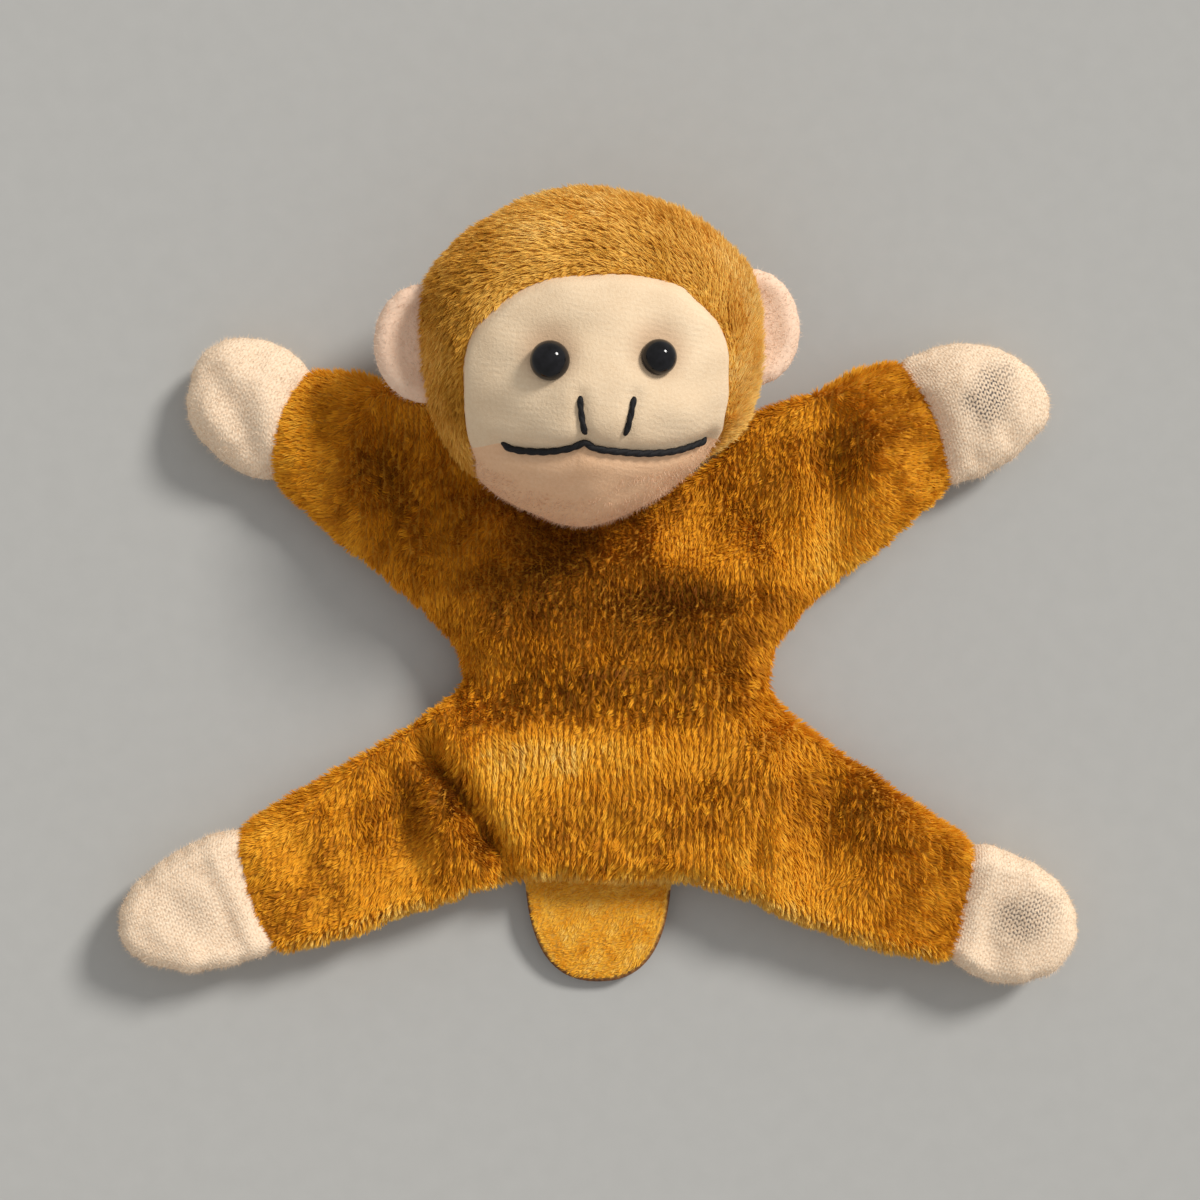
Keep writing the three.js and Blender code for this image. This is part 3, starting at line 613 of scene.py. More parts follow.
def takePart(bag, number, name):  # one piece of the bag, its open ends closed inside
    made = linked(name, bag.data.copy())
    form = bmesh.new()
    form.from_mesh(made.data)
    layer = form.faces.layers.int["part"]
    bmesh.ops.delete(form, geom=[f for f in form.faces if f[layer] != number], context="FACES")
    rim = [e for e in form.edges if e.is_boundary]
    bmesh.ops.holes_fill(form, edges=rim, sides=0)
    for e in rim:
        e.smooth = False
    form.to_mesh(made.data)
    form.free()
    made.data.attributes.remove(made.data.attributes["part"])
    return made


body = makeBody()
skins = {name: takePart(body, k, name + ("_knit" if k > len(limbPlan) else "_plush"))
         for k, name in enumerate(bodyParts)}
print("body cut into", len(skins), "pieces,", sum(len(s.data.polygons) for s in skins.values()), "faces")
bpy.data.objects.remove(body)


# Head: an egg with a fuller crown and a soft muzzle, in its own frame

headPlan = {"at": (-2.7, 33.7, 18.0), "roll": 2.3, "yaw": 5.0, "half": (24.0, 23.4), "front": 17.5, "back": 15.0,
            "fullness": 0.1, "crownLevel": 0.6, "topFullness": 0.06, "topShift": -0.9,
            "jawLevel": 0.4, "jawTaper": 0.36, "jawPower": 1.7, "jawShift": -2.0,
            "muzzle": (-11.5, 11.0, 8.0, 2.4), "flatRadius": 20.0, "faceX": -0.5, "faceGrow": 1.6,
            "face": [(0, 8.3), (5, 8.1), (9.4, 7.2), (12.4, 5.7), (15.0, 3.3), (17.1, 1.0), (17.7, -3.0),
                     (17.6, -6.8), (17.0, -10.6), (15.9, -14.4)],
            "jaw": [(20.4, -20.6), (20.6, -26.5), (17.2, -33.0), (9.8, -37.4), (0, -39.0)],
            "mouth": [(-14.3, -12.6), (-12.4, -13.6), (-9.8, -14.1), (-7.2, -14.2), (-4.6, -13.9), (-3.1, -13.4),
                      (-1.8, -14.1), (0.2, -14.5), (4.2, -14.9), (7.4, -14.8), (10.4, -14.4), (13.8, -13.6),
                      (15.0, -12.9)],
            "noses": {"left": [(-3.55, -6.9), (-3.45, -9.5), (-2.95, -12.3)],
                      "right": [(3.75, -7.2), (3.1, -10.0), (2.4, -12.6)]},
            "eyes": (7.2, -2.15), "pileReach": 1.0, "pitch": 0.8, "feltThick": 0.9, "split": (-21, 20),
            "faceSink": 3.2, "unevenness": 0.35}
dentPlan = {"eye": 0.7, "eyeWide": 2.8, "brow": 0.6, "browAt": (0.6, 3.6), "browHalf": (4.4, 2.2), "mouth": 1.0,
            "mouthWide": 1.3, "nose": 0.5, "noseWide": 0.9, "edge": 1.5, "edgeWide": 2.0, "unevenness": 0.12}
headTurn = np.array(Matrix.Rotation(math.radians(headPlan["roll"]), 3, "Z")
                    @ Matrix.Rotation(math.radians(headPlan["yaw"]), 3, "Y"))
headAt = np.array(headPlan["at"])


def toToy(points):
    return points @ headTurn.T + headAt


def toHead(points):
    return (points - headAt) @ headTurn


def headWidth(level):  # fuller at the crown, narrower at the jaw
    full = headPlan["fullness"] * smooth(level, 0, headPlan["crownLevel"])
    full = full + headPlan["topFullness"] * smooth(level, 0.6, 0.9)
    low = np.maximum(0, -level - headPlan["jawLevel"]) / (1 - headPlan["jawLevel"])
    return 1 + full - headPlan["jawTaper"] * low ** headPlan["jawPower"]


def aside(level):  # jaw and crown lean a little to the left
    jaw = headPlan["jawShift"] * smooth(-level, headPlan["jawLevel"], 0.8)
    return jaw + headPlan["topShift"] * smooth(level, 0.5, 0.9)


def headPoint(way, grow=0.0):
    plan = headPlan
    wide = (plan["half"][0] + grow) * headWidth(way[:, 1])
    deep = np.where(way[:, 2] > 0, plan["front"], plan["back"]) + grow
    p = np.stack([wide * way[:, 0] + aside(way[:, 1]), (plan["half"][1] + grow) * way[:, 1], deep * way[:, 2]], 1)
    level, half, height, swell = plan["muzzle"]
    p[:, 2] += swell * np.maximum(0, way[:, 2]) * bell(p[:, 0], half) * bell(p[:, 1] - level, height)
    return p


def across(xy):  # a place on the head as shares of its half width and half height
    wy = xy[:, 1] / headPlan["half"][1]
    return (xy[:, 0] - aside(wy)) / (headPlan["half"][0] * headWidth(wy)), wy


def wayAt(xy):  # the way from the head's middle to the face over a place
    wx, wy = across(xy)
    shrink = np.minimum(1, 0.9995 / np.maximum(np.hypot(wx, wy), tiny))
    wx, wy = wx * shrink, wy * shrink
    return np.stack([wx, wy, np.sqrt(np.maximum(0, 1 - wx ** 2 - wy ** 2))], 1)


def headNormal(way):
    side = unit(np.cross((0.0, 1.0, 0.0), way) + (tiny, 0, 0))
    p, step = headPoint(way), 0.01
    sideways = headPoint(unit(way + step * side)) - p
    upward = headPoint(unit(way + step * np.cross(way, side))) - p
    return unit(np.cross(sideways, upward))


def spread(way):  # the front of the head laid flat, in millimetres round its middle
    polar = np.arctan2(np.hypot(way[:, 0], way[:, 1]), way[:, 2])
    return headPlan["flatRadius"] * unit(way[:, :2]) * polar[:, None]


def unspread(flat):
    polar = np.linalg.norm(flat, axis=1) / headPlan["flatRadius"]
    return np.column_stack([unit(flat) * np.sin(polar)[:, None], np.cos(polar)])


def faceOutline():  # laid flat: the seam down both cheeks, then round under the chin
    shift = (headPlan["faceX"], 0)
    lines = []
    for mirror in ((1, 1), (-1, 1)):
        seam = np.array(headPlan["face"]) * mirror + shift
        if mirror[0] < 0:  # the left cheek is narrower at the brow and fuller below
            brow = smooth(seam[:, 1], -1, 6) * smooth(-seam[:, 0], 4, 10)
            seam[:, 0] += brow - 0.8 * smooth(-seam[:, 1], 4, 12)
        jaw = np.array(headPlan["jaw"]) * mirror + shift
        line = splineThrough(np.vstack([spread(wayAt(seam)), jaw]), 0.6)
        lines.append(shifted(line, headPlan["faceGrow"] * mirror[0]))
    right, left = lines
    return np.vstack([right[::-1], left[1:-1]])


faceEdge = faceOutline()
mouthLine = splineThrough(headPlan["mouth"], 0.4)
noseLines = {side: splineThrough(line, 0.3) for side, line in headPlan["noses"].items()}


def mouthLevel(x):
    return np.interp(x, mouthLine[:, 0], mouthLine[:, 1])


def inSeam(way):  # distance inside the face's seam, less than nothing outside
    flat = spread(way)
    return np.where(inside(flat, faceEdge), 1, -1) * toLine(flat, closed(faceEdge))


def inFace(p):  # the same from points near the head's surface
    wx, wy = across(p)
    wz = p[:, 2] / np.where(p[:, 2] > 0, headPlan["front"], headPlan["back"])
    return inSeam(unit(np.stack([wx, wy, wz], 1)))


def faceDent(p):  # how far the face is pulled in, by eyes, stitches and its sewn edge
    x, y = p[:, 0], p[:, 1]
    plan, (ex, ey), (bx, by), (bw, bh) = dentPlan, headPlan["eyes"], dentPlan["browAt"], dentPlan["browHalf"]
    dent = np.zeros(len(p))
    for s in sides.values():
        dent += plan["eye"] * bell(np.hypot(x - s * ex, y - ey), plan["eyeWide"])
        dent += plan["brow"] * bell(x - s * ex - bx, bw) * bell(y - ey - by, bh)
    dent += plan["mouth"] * bell(toLine(p[:, :2], mouthLine), plan["mouthWide"])
    for line in noseLines.values():
        dent += plan["nose"] * bell(toLine(p[:, :2], line), plan["noseWide"])
    dent += plan["edge"] * (1 - smooth(inFace(p), 0, plan["edgeWide"]))
    return dent + plan["unevenness"] * wobble(p, 6, 21)


def faceOver(way, rise=0.0):  # points of the finished face, and the way it looks there
    p, normal = headPoint(way), headNormal(way)
    return p + normal * (rise - faceDent(p))[:, None], normal


def makeFace():
    pitch = headPlan["pitch"]
    split = np.linspace(*headPlan["split"], 90)
    split = spread(wayAt(np.stack([split, mouthLevel(split)], 1)))
    flat, faces = filled(spaced(closed(faceEdge), pitch)[:-1], [spaced(split, pitch)], pitch)
    way = unspread(flat)
    seen = faceOver(way)[0]
    centre = headPoint(way)[faces].mean(1)
    below = centre[:, 1] < mouthLevel(centre[:, 0])
    made = []
    for name, chosen in (("face_knit", ~below), ("chin_knit", below)):
        used, index = np.unique(faces[chosen], return_inverse=True)
        panel = newMesh(name, toToy(seen[used]), index.reshape(-1, 3))
        thickened(subdivided(panel), headPlan["feltThick"])
        panel.data.set_sharp_from_angle(angle=math.radians(50))
        note(panel.data, "rest", toHead(pointsOf(panel.data)))
        made.append(panel)
    return made


def makeHead():
    form = bmesh.new()
    bmesh.ops.create_icosphere(form, subdivisions=6, radius=1)
    way = unit(np.array([list(v.co) for v in form.verts]))
    faces = np.array([[v.index for v in f.verts] for f in form.faces])
    form.free()
    p, within = headPoint(way, -headPlan["pileReach"]), inSeam(way)
    p = p - way * (headPlan["faceSink"] * smooth(within, -0.4, 1.8))[:, None]
    p += way * (headPlan["unevenness"] * wobble(p, 22, 5) * (1 - smooth(within, -3, -0.5)))[:, None]
    return newMesh("head_plush", toToy(p), faces)


head = makeHead()
face, chin = makeFace()
print("head and face made")


# Ears, eyes, stitches, neck and tail

earPlan = {"x": 23.25, "y": 2.6, "reach": 7.15, "half": 8.4, "swell": 1.3, "round": 2.4, "root": 19.5,
           "dish": 0.9, "dishEdge": (1.4, 4.5), "curlFrom": 24.0, "curl": 0.02, "unevenness": 0.1,
           "shift": {"left": (0, 0), "right": (-0.9, 0.9)}, "bend": (23.2, 26.0)}


def makeEar(side):
    plan, sign = earPlan, sides[side]
    angle = anglesIn(70)
    ring = np.stack([plan["x"] + plan["reach"] * np.cos(angle), plan["y"] + plan["half"] * np.sin(angle)], 1)
    ring = ring[ring[:, 0] > plan["root"]]
    start = np.argmin(np.arctan2(ring[:, 1] - plan["y"], ring[:, 0] - plan["root"]))
    ring = spaced(closed(np.roll(ring, -start, axis=0)), 0.7)[:-1]
    xy, faces = filled(ring, [], 0.8)
    edge = toLine(xy, closed(ring))
    puff = plan["swell"] * bulge(edge / plan["round"])
    dish = plan["dish"] * smooth(edge, *plan["dishEdge"])
    faces = faces[:, ::sign]
    points, faces, border = twoSided(xy * (sign, 1), faces, puff - dish, -puff - 0.3 * dish, 0.0)
    points[:, :2] += plan["shift"][side]
    points[:, 2] += plan["unevenness"] * wobble(points, 6, 31)
    points[:, 2] -= plan["curl"] * np.maximum(0, np.abs(points[:, 0]) - plan["curlFrom"]) ** 2
    ear = newMesh("ear_%s_knit" % side, toToy(points), faces)
    subdivided(ear)
    note(ear.data, "rest", toHead(pointsOf(ear.data)))
    return ear


eyePlan = {"size": {"left": 1.06, "right": 0.96}, "radius": 2.5, "rise": 0.25, "sink": 0.35, "around": 48,
           "bowl": [(0, -1.3), (1.3, -1.25), (2.0, -0.9), (2.4, -0.4)]}


def makeEye(side):  # a bead: a dome that stands out, and a bowl that sits in the dent
    plan, (x, y) = eyePlan, headPlan["eyes"]
    way = wayAt(np.array([[sides[side] * x, y]]))
    normal = headNormal(way)[0]
    level = unit(np.cross((0, 1, 0), normal))
    turn = headTurn @ np.stack([level, np.cross(normal, level), normal], 1)
    dome = [(plan["radius"] * math.cos(a), plan["rise"] + plan["radius"] * math.sin(a))
            for a in np.linspace(0, math.pi / 2, 14)[:-1]]
    profile = np.array(plan["bowl"] + dome + [(0, plan["rise"] + plan["radius"])]) * plan["size"][side]
    angle = anglesIn(plan["around"])
    rings = np.stack([np.stack([r * np.cos(angle), r * np.sin(angle), np.full(len(angle), h)], 1)
                      for r, h in profile[1:-1]])
    points, faces = tube(rings, [(0, 0, profile[0][1]), (0, 0, profile[-1][1])])
    at = toToy(headPoint(way))[0] - headTurn @ normal * plan["sink"]
    return newMesh("eye_%s_bead" % side, points @ turn.T + at, faces)


threadPlan = {"pitch": 0.12, "rise": 0.55, "dive": 1.3, "ply": 0.78, "apart": 0.2, "twist": 3.4, "around": 10}


def makeThread(name, places, radius, ends):  # two plies twisted together along the face
    plan = threadPlan
    route, normal = faceOver(wayAt(spaced(places, plan["pitch"])), radius * plan["rise"])
    run = np.linspace(0, 1, len(route))
    dive = np.maximum(1 - run / ends, 0) ** 2 + np.maximum(1 - (1 - run) / ends, 0) ** 2
    route = toToy(route - normal * (dive * plan["dive"])[:, None])
    along = unit(np.gradient(route, axis=0))
    side = unit(np.cross(along, normal @ headTurn.T))
    lift = np.cross(side, along)
    length = np.cumsum(np.linalg.norm(np.diff(route, axis=0, prepend=route[:1]), axis=1))
    angle = anglesIn(plan["around"])[:, None]
    section = np.cos(angle) * side[:, None] - np.sin(angle) * lift[:, None]
    points, faces = [], []
    for k in range(2):
        turn = (fullTurn * length / plan["twist"] + k * math.pi)[:, None]
        centre = route + (np.cos(turn) * side + np.sin(turn) * lift) * radius * plan["apart"]
        ply, skin = tube(centre[:, None] + radius * plan["ply"] * section, centre[[0, -1]])
        points.append(ply)
        faces.append(skin + k * len(ply))
    thread = newMesh(name, np.vstack(points), np.vstack(faces))
    note(thread.data, "rest", toHead(pointsOf(thread.data)))
    return thread


neckPlan = {"start": np.array([-2.4, 15.0, 6.4]), "end": np.array([-2.5, 21.6, 12.6]), "radius": 4.2, "flare": 1.0,
            "gathers": 12, "gatherDeep": 0.2, "open": (1.0, 6.0)}


def makeNeck():  # the gathered tube between the neckline and the head
    plan, start, end = neckPlan, neckPlan["start"], neckPlan["end"]
    side = np.array([1.0, 0, 0])
    lift = unit(np.cross(unit(end - start), side))
    angle = anglesIn(48)[:, None]
    gather = plan["gatherDeep"] * np.sin(plan["gathers"] * angle)
    rings = [start + t * (end - start) + (plan["radius"] + plan["flare"] * (2 * t - 1) ** 2 + gather)
             * (np.cos(angle) * side + np.sin(angle) * lift) for t in np.linspace(0, 1, 9)]
    return newMesh("neck_plush", *tube(np.stack(rings), [start, end]))


tailPlan = {"x": -2.0, "y": -41.6, "width": 21.2, "length": 14.2, "thick": 1.4, "z": 2.5, "root": 2.6,
            "droop": 0.0072, "unevenness": 0.05}


def tailOutline():
    half, long, root = tailPlan["width"] / 2, tailPlan["length"], tailPlan["root"]
    right = bezier((half, 0), (0.92 * half, -0.7 * long), (0.6 * half, -long), (0, -long), 30)
    ring = np.vstack([right, (right * (-1, 1))[::-1][1:], [(-half, root), (half, root)]])
    return spaced(closed(ring), 0.7)[:-1][::-1]


def makeTail():
    plan, ring = tailPlan, tailOutline()
    xy, faces = filled(ring, [], 0.8)
    lower = len(xy) + np.arange(len(xy))
    droop = plan["droop"] * np.minimum(0, xy[:, 1]) ** 2
    droop += plan["unevenness"] * wobble(np.column_stack([xy, xy[:, 0]]), 8, 41)
    sheet = [np.column_stack([xy + (plan["x"], plan["y"]), plan["z"] + side * plan["thick"] / 2 - droop])
             for side in (1, -1)]
    a, b = openEdges(faces).T
    wall = np.vstack([np.stack([b, a, lower[a]], 1), np.stack([b, lower[a], lower[b]], 1)])
    tail = newMesh("tail_plush", np.vstack(sheet), np.vstack([faces, lower[faces][:, ::-1], wall]))
    depth = toLine(xy, closed(ring)) * mix(0.6, 1.1, smooth(xy[:, 1], -plan["length"], -2))
    depth += 4 * smooth(xy[:, 1], -0.6, 0.4)  # no cut edge where it is sewn in
    note(tail.data, "edge", np.concatenate([depth, depth]))
    for p in tail.data.polygons:
        p.use_smooth = p.index < 2 * len(faces)
    return tail


ears = {side: makeEar(side) for side in sides}
eyes = {side: makeEye(side) for side in sides}
mouth = makeThread("mouth_stitch_thread", mouthLine, 0.52, 0.04)
noses = {side: makeThread("nose_stitch_%s_thread" % side, line, 0.45, 0.16) for side, line in noseLines.items()}
neck = makeNeck()
tail = makeTail()
print("ears, eyes, stitches, neck and tail made")


# Pile: tufts planted on the plush skins. Front and back are hairs per square millimetre, leans are in degrees

pilePlan = {"front": 17.0, "back": 2.5, "length": 1.3, "width": 0.28, "flat": 67.0, "upright": 34.0, "backLean": 80.0,
            "hemLean": 24.0, "leanSpread": 7.0, "jitter": 0.16, "messy": 0.45, "across": 0.83, "along": 1.3,
            "drift": 0.14, "gather": 0.3, "hemGather": 0.6, "hemRise": 0.6, "wale": 0.42, "sink": 0.1, "paintedGlint": 0.9}
chestPile = dict(pilePlan, front=18.0, width=0.25, across=0.66, along=0.9, paintedGlint=0.3, messy=0.38)
bellyPile = dict(pilePlan, across=0.92, along=1.15)
limbPile = dict(pilePlan, width=0.26, across=0.74, along=1.05, paintedGlint=0.55)
neckPile = dict(pilePlan, back=14.0, length=1.0)
headPile = dict(pilePlan, front=20.0, back=5.0, length=1.7, width=0.26, flat=71.0, upright=60.0, across=0.7, along=0.7,
                messy=0.3, gather=0.45, wale=0.0, paintedGlint=0.3)
tailPile = dict(pilePlan, front=22.0, back=8.0, length=0.65, width=0.22, flat=70.0, upright=55.0, across=0.5, along=0.6,
                sink=0.05, wale=0.0, paintedGlint=0.2)
napPlan = dict(pilePlan, front=7.0, back=1.5, length=0.65, width=0.07, flat=55.0, upright=55.0, jitter=0.6, messy=2.5,
               across=0.3, along=0.3, gather=0.0, wale=0.0, sink=0.05, paintedGlint=0.0)


def bodyLay(p, n):  # which way the pile lies on the body
    lay = np.zeros_like(p)
    turn = 0.4 * wobble(p, 26, 51) + 0.14 * wobble(p, 9, 52)
    lay[:, 0], lay[:, 1] = np.sin(turn), -np.cos(turn)
    for limb in limbPlan.values():
        mine = (p[:, 0] * limb["side"] > bodyPlan["beside"]) & (onChest(p, n) == (limb["top"][1] > 0))
        share = np.where(mine, smooth(pawFrame(limb, p)[0], -22, -4) * 0.75, 0)
        lay = mix(lay, np.append(limb["out"], 0), share[:, None])
    return lay


def headLay(p, n):  # combed round the face
    q = toHead(p) - (headPlan["faceX"], -6, 0)
    lay = np.stack([-q[:, 1], q[:, 0], np.zeros(len(q))], 1) + 5 * wobble(p, 10, 61)[:, None] * unit(q * (1, 1, 0))
    return lay @ headTurn.T


def tailLay(p, n):
    return np.stack([-1 + 0.5 * wobble(p, 5, 62), -0.5 + 0.5 * wobble(p, 6, 63), np.zeros(len(p))], 1)


def anyWay(p, n):
    return np.cross(n, (0.3, 0.2, 0.9))


def plantPile(name, skin, lay, toneAndShadeAt, seed, plan, keep=None, short=None, curly=None):
    draw = np.random.default_rng(seed)
    data = skin.data
    co, normals, tri = pointsOf(data), normalsOf(data), trianglesOf(data)
    a, b, c = (co[tri[:, k]] for k in range(3))
    area = np.linalg.norm(np.cross(b - a, c - a), axis=1) / 2
    behind = smooth(-normals[tri[:, 0], 2], 0.3, 0.8)
    count = np.floor(area * mix(plan["front"], plan["back"], behind) + draw.random(len(area))).astype(int)
    own = np.repeat(np.arange(len(tri)), count)
    s, t = np.sqrt(draw.random(len(own))), draw.random(len(own))
    share = np.stack([1 - s, s * (1 - t), s * t], 1)
    root = (co[tri[own]] * share[..., None]).sum(1)
    n = unit((normals[tri[own]] * share[..., None]).sum(1))
    if keep:
        ok = keep(root, n)
        root, n = root[ok], n[ok]
    toneAndShade = toneAndShadeAt(root)

    # tufts: wales across the cloth, cut into short lengths along it
    bent = root + plan["drift"] * np.stack([wobble(root, 7, k) for k in (73, 74, 75)], 1)
    wale = np.round(bent / (plan["across"], 1, plan["across"]))
    pull = plan["wale"] * (wale[:, 0] * plan["across"] - bent[:, 0]) * smooth(n[:, 2], 0.3, 0.8)
    root[:, 0] += 0.5 * pull
    step = np.round(bent[:, 1] / plan["along"] + 0.37 * wale[:, 0] + 0.61 * wale[:, 2])
    cell = np.stack([wale[:, 0], step, wale[:, 2]], 1).astype(int)
    found, tuft = np.unique(cell, axis=0, return_inverse=True)
    tuft = tuft.ravel()
    tuftChance, tuftTurn, tuftLean = (spin(size=len(found))[tuft] for spin in (draw.random, draw.normal, draw.normal))

    # each hair leans along the lay, less so on brushed-up pile, at the rim and along the hem
    under = smooth(-n[:, 2], 0.2, 0.9)
    rim = 1 - smooth(np.abs(n[:, 2]), 0.25, 0.7)
    hem = curly(root) if curly else np.zeros(len(root))
    curl = np.maximum(smooth(-toneAndShade, -0.15, 0.7), hem)
    rise = unit(n + hem[:, None] * (0, 0, plan["hemRise"]))
    t = lay(root, n)
    t = unit(t - n * (t * n).sum(1, keepdims=True))
    turn = (plan["messy"] * mix(0.35, 1.1, curl) * tuftTurn)[:, None]
    t = t * np.cos(turn) + np.cross(n, t) * np.sin(turn)
    t = unit(t + plan["jitter"] * draw.normal(size=t.shape))
    lean = mix(plan["flat"], plan["upright"], np.maximum(curl, 0.75 * rim))
    lean = mix(mix(lean, plan["hemLean"], hem), plan["backLean"], under)
    lean = lean + plan["leanSpread"] * draw.normal(size=len(root)) + plan["leanSpread"] * tuftLean
    lean = np.radians(lean)[:, None]
    length = plan["length"] * draw.uniform(0.75, 1.1, len(root)) * (1 + 0.12 * wobble(root, 10, 72))
    length *= mix(1, 0.7, under)
    if short:
        length *= short(root)
    tip = root + (rise * np.cos(lean) + t * np.sin(lean)) * length[:, None]
    mean = np.stack([np.bincount(tuft, tip[:, k]) / np.bincount(tuft) for k in range(3)], 1)[tuft]
    gather = mix(plan["gather"], plan["hemGather"], hem)[:, None]
    tip = mix(tip, mean, gather * draw.uniform(0.5, 1.3, (len(tip), 1)))
    tip[:, 0] += 0.5 * pull
    tip[:, 2] = np.maximum(tip[:, 2], 0.08)

    # each hair is a closed spike of three faces, one flat side up, kept off the floor
    way = unit(tip - root)
    base = root - n * plan["sink"]
    base[:, 2] = np.maximum(base[:, 2], 0.05)
    side = unit(np.cross(way, n + 1e-3))
    lift = np.cross(side, way)
    wide = (plan["width"] * draw.uniform(0.75, 1.25, len(root)) / 2)[:, None]
    spin = (math.pi / 6 + draw.uniform(-0.5, 0.5, len(root)))[:, None]
    corner = [base + wide * (np.cos(spin + k) * side + np.sin(spin + k) * lift)
              for k in (0, fullTurn / 3, 2 * fullTurn / 3)]
    points = np.stack([*corner, tip], 1).reshape(-1, 3)
    points[:, 2] = np.maximum(points[:, 2], 0.03)
    first = np.arange(len(root))[:, None, None] * 4
    made = newMesh(name, points, (first + np.array([[0, 1, 3], [1, 2, 3], [2, 0, 3]])).reshape(-1, 3))
    made.data.shade_flat()

    # what the finish reads: root or tip, chance, and tone with its painted shade and painted light
    hue = np.zeros((len(root), 4, 3))
    hue[:, 3, 0] = 1
    hue[:, :, 1] = (0.6 * tuftChance + 0.4 * draw.random(len(root)))[:, None]
    # painted sheen: the pile is lighter where the skin turns edge-on
    hue[:, :, 2] = (toneAndShade + 0.35 * rim)[:, None]
    # painted glints: lighter tips on some tufts of the brushed-up pile
    hue[:, 3, 2] += plan["paintedGlint"] * curl * smooth(tuftChance, 0.5, 0.95)
    note(made.data, "pile", hue.reshape(-1, 3))

    # one cell of the bake for each hair
    cells, k = math.ceil(math.sqrt(len(root))), np.arange(len(root))
    corners = np.array([[0.1, 0.1], [0.5, 0.1], [0.9, 0.1], [0.5, 0.9]])
    uv = (np.stack([k % cells, k // cells], 1)[:, None] + corners) / cells
    index = read(made.data.loops, "vertex_index", 1, np.int32).ravel()
    layer = made.data.uv_layers.new(name="OFBake")
    layer.data.foreach_set("uv", uv.reshape(-1, 2)[index].astype(np.float32).ravel())
    return made


# patches of painted shade and painted light on the pile, where it is brushed to its dark or its light side and in the
# creases: place, size, strength
shadeAndLightPatches = [((13, 0.6), (9, 2.6), -0.9), ((0, -13.2), (19, 4.8), -1.0), ((4, -10.0), (12, 1.4), -0.4),
           ((-17, -16), (5, 3), -0.4), ((-8, 5), (19, 9), -0.75), ((-3, -1.5), (15, 6), -0.75),
           ((10, 9.5), (3.6, 3.2), 0.6), ((-13, 4), (8, 6), -0.3), ((-32, 17), (7, 9), -0.5),
           ((36, 24), (6, 5), -0.5), ((11, 6.5), (5, 2.2), 0.5), ((20, 13), (10, 7), -0.55),
           ((27, 26), (5, 3), 0.2), ((28, 4), (5, 4), 0.2), ((14, -5), (9, 3), -0.45),
           ((-11, -22), (10, 3.4), 1.0), ((5, -21.5), (10, 2.6), 0.65), ((12, -30), (10, 6), -0.2),
           ((-2, -34), (12, 4), -0.1), ((-22.5, -28), (3.2, 5), -0.9), ((-18.5, -34.5), (2.4, 3.6), -0.7),
           ((-14, -31), (2.6, 5), 0.45), ((-27, -38), (5, 4), 0.15), ((-38, -33), (9, 8), -0.3),
           ((-44, -42), (7, 6), -0.35), ((-30, -28), (4, 5), -0.5), ((36, -32), (7, 6), -0.45),
           ((28, -22), (5, 4), 0.1), ((-48, 25), (4, 9), 0.3), ((-20, -4), (5, 5), 0.1)]
hemLine = splineThrough([limbPlan["leg_left"]["low"], *bodyPlan["seat"], limbPlan["leg_right"]["low"]])
tailEdge = closed(tailOutline() + (tailPlan["x"], tailPlan["y"]))


def hemCurl(p):  # 1 in the rows of tufts along the lower seam
    return (1 - smooth(toLine(p[:, :2], hemLine), 1.8, 3.8)) * (p[:, 2] > bodyPlan["seam"] - 1)


def hemLong(p):
    return 1 + 0.35 * hemCurl(p)


def nearFace(p):  # shorter beside the face
    return mix(0.6, 1, smooth(-inFace(toHead(p)), 0, 3))


def bodyToneAndShade(p):
    toneAndShade = 0.22 * wobble(p, 18, 81) + 0.16 * wobble(p, 7, 82)
    # painted shade and painted light, patch by patch
    for (x, y), (w, h), strength in shadeAndLightPatches:
        away = ((p[:, 0] - x) / w) ** 2 + ((p[:, 1] - y) / h) ** 2
        toneAndShade += strength * np.exp(-away) * np.where(p[:, 2] > bodyPlan["seam"], 1, 0.2)
    # painted light on the rows of tufts along the hem
    return toneAndShade + 0.75 * hemCurl(p)


def headToneAndShade(p):
    q = toHead(p)
    toneAndShade = 0.25 * wobble(p, 12, 91) + 0.15 * wobble(p, 5, 92)
    # painted light on the top and the right side of the crown, painted shade on its left side
    toneAndShade += 0.35 * smooth(q[:, 1], 10, 20) - 0.15
    toneAndShade += 0.55 * bell(q[:, 0] - 20, 5)
    return toneAndShade - 0.3 * smooth(-q[:, 0], 9, 17)


def tailTone(p):
    return 0.5 + 0.3 * wobble(p, 4, 95)


def evenTone(p):
    return np.zeros(len(p))


# which part of a skin is planted
def onChest(p, n):
    return p[:, 1] > bodyPlan["waist"]


def onBelly(p, n):
    return ~onChest(p, n)


def onSleeve(limb):  # set back behind the cuff on the underside, where the paw folds
    def keep(p, n):
        return pawFrame(limb, p)[0] < np.where(n[:, 2] > -0.3, 0.3, -0.9)
    return keep


def onPaw(limb):
    def keep(p, n):
        return pawFrame(limb, p)[0] > 0.4
    return keep


def onCrown(p, n):
    return inFace(toHead(p)) < -0.1


def onChin(p, n):
    return (inFace(toHead(p)) > 0.3) & (n[:, 2] < 0.55)


def onNeck(p, n):  # the open length between the neckline and the head
    along = (p - neckPlan["start"]) @ unit(neckPlan["end"] - neckPlan["start"])
    return (along > neckPlan["open"][0]) & (along < neckPlan["open"][1])


def onTail(p, n):
    return (np.abs(n[:, 2]) > 0.6) & (toLine(p[:, :2], tailEdge) > 0.55)


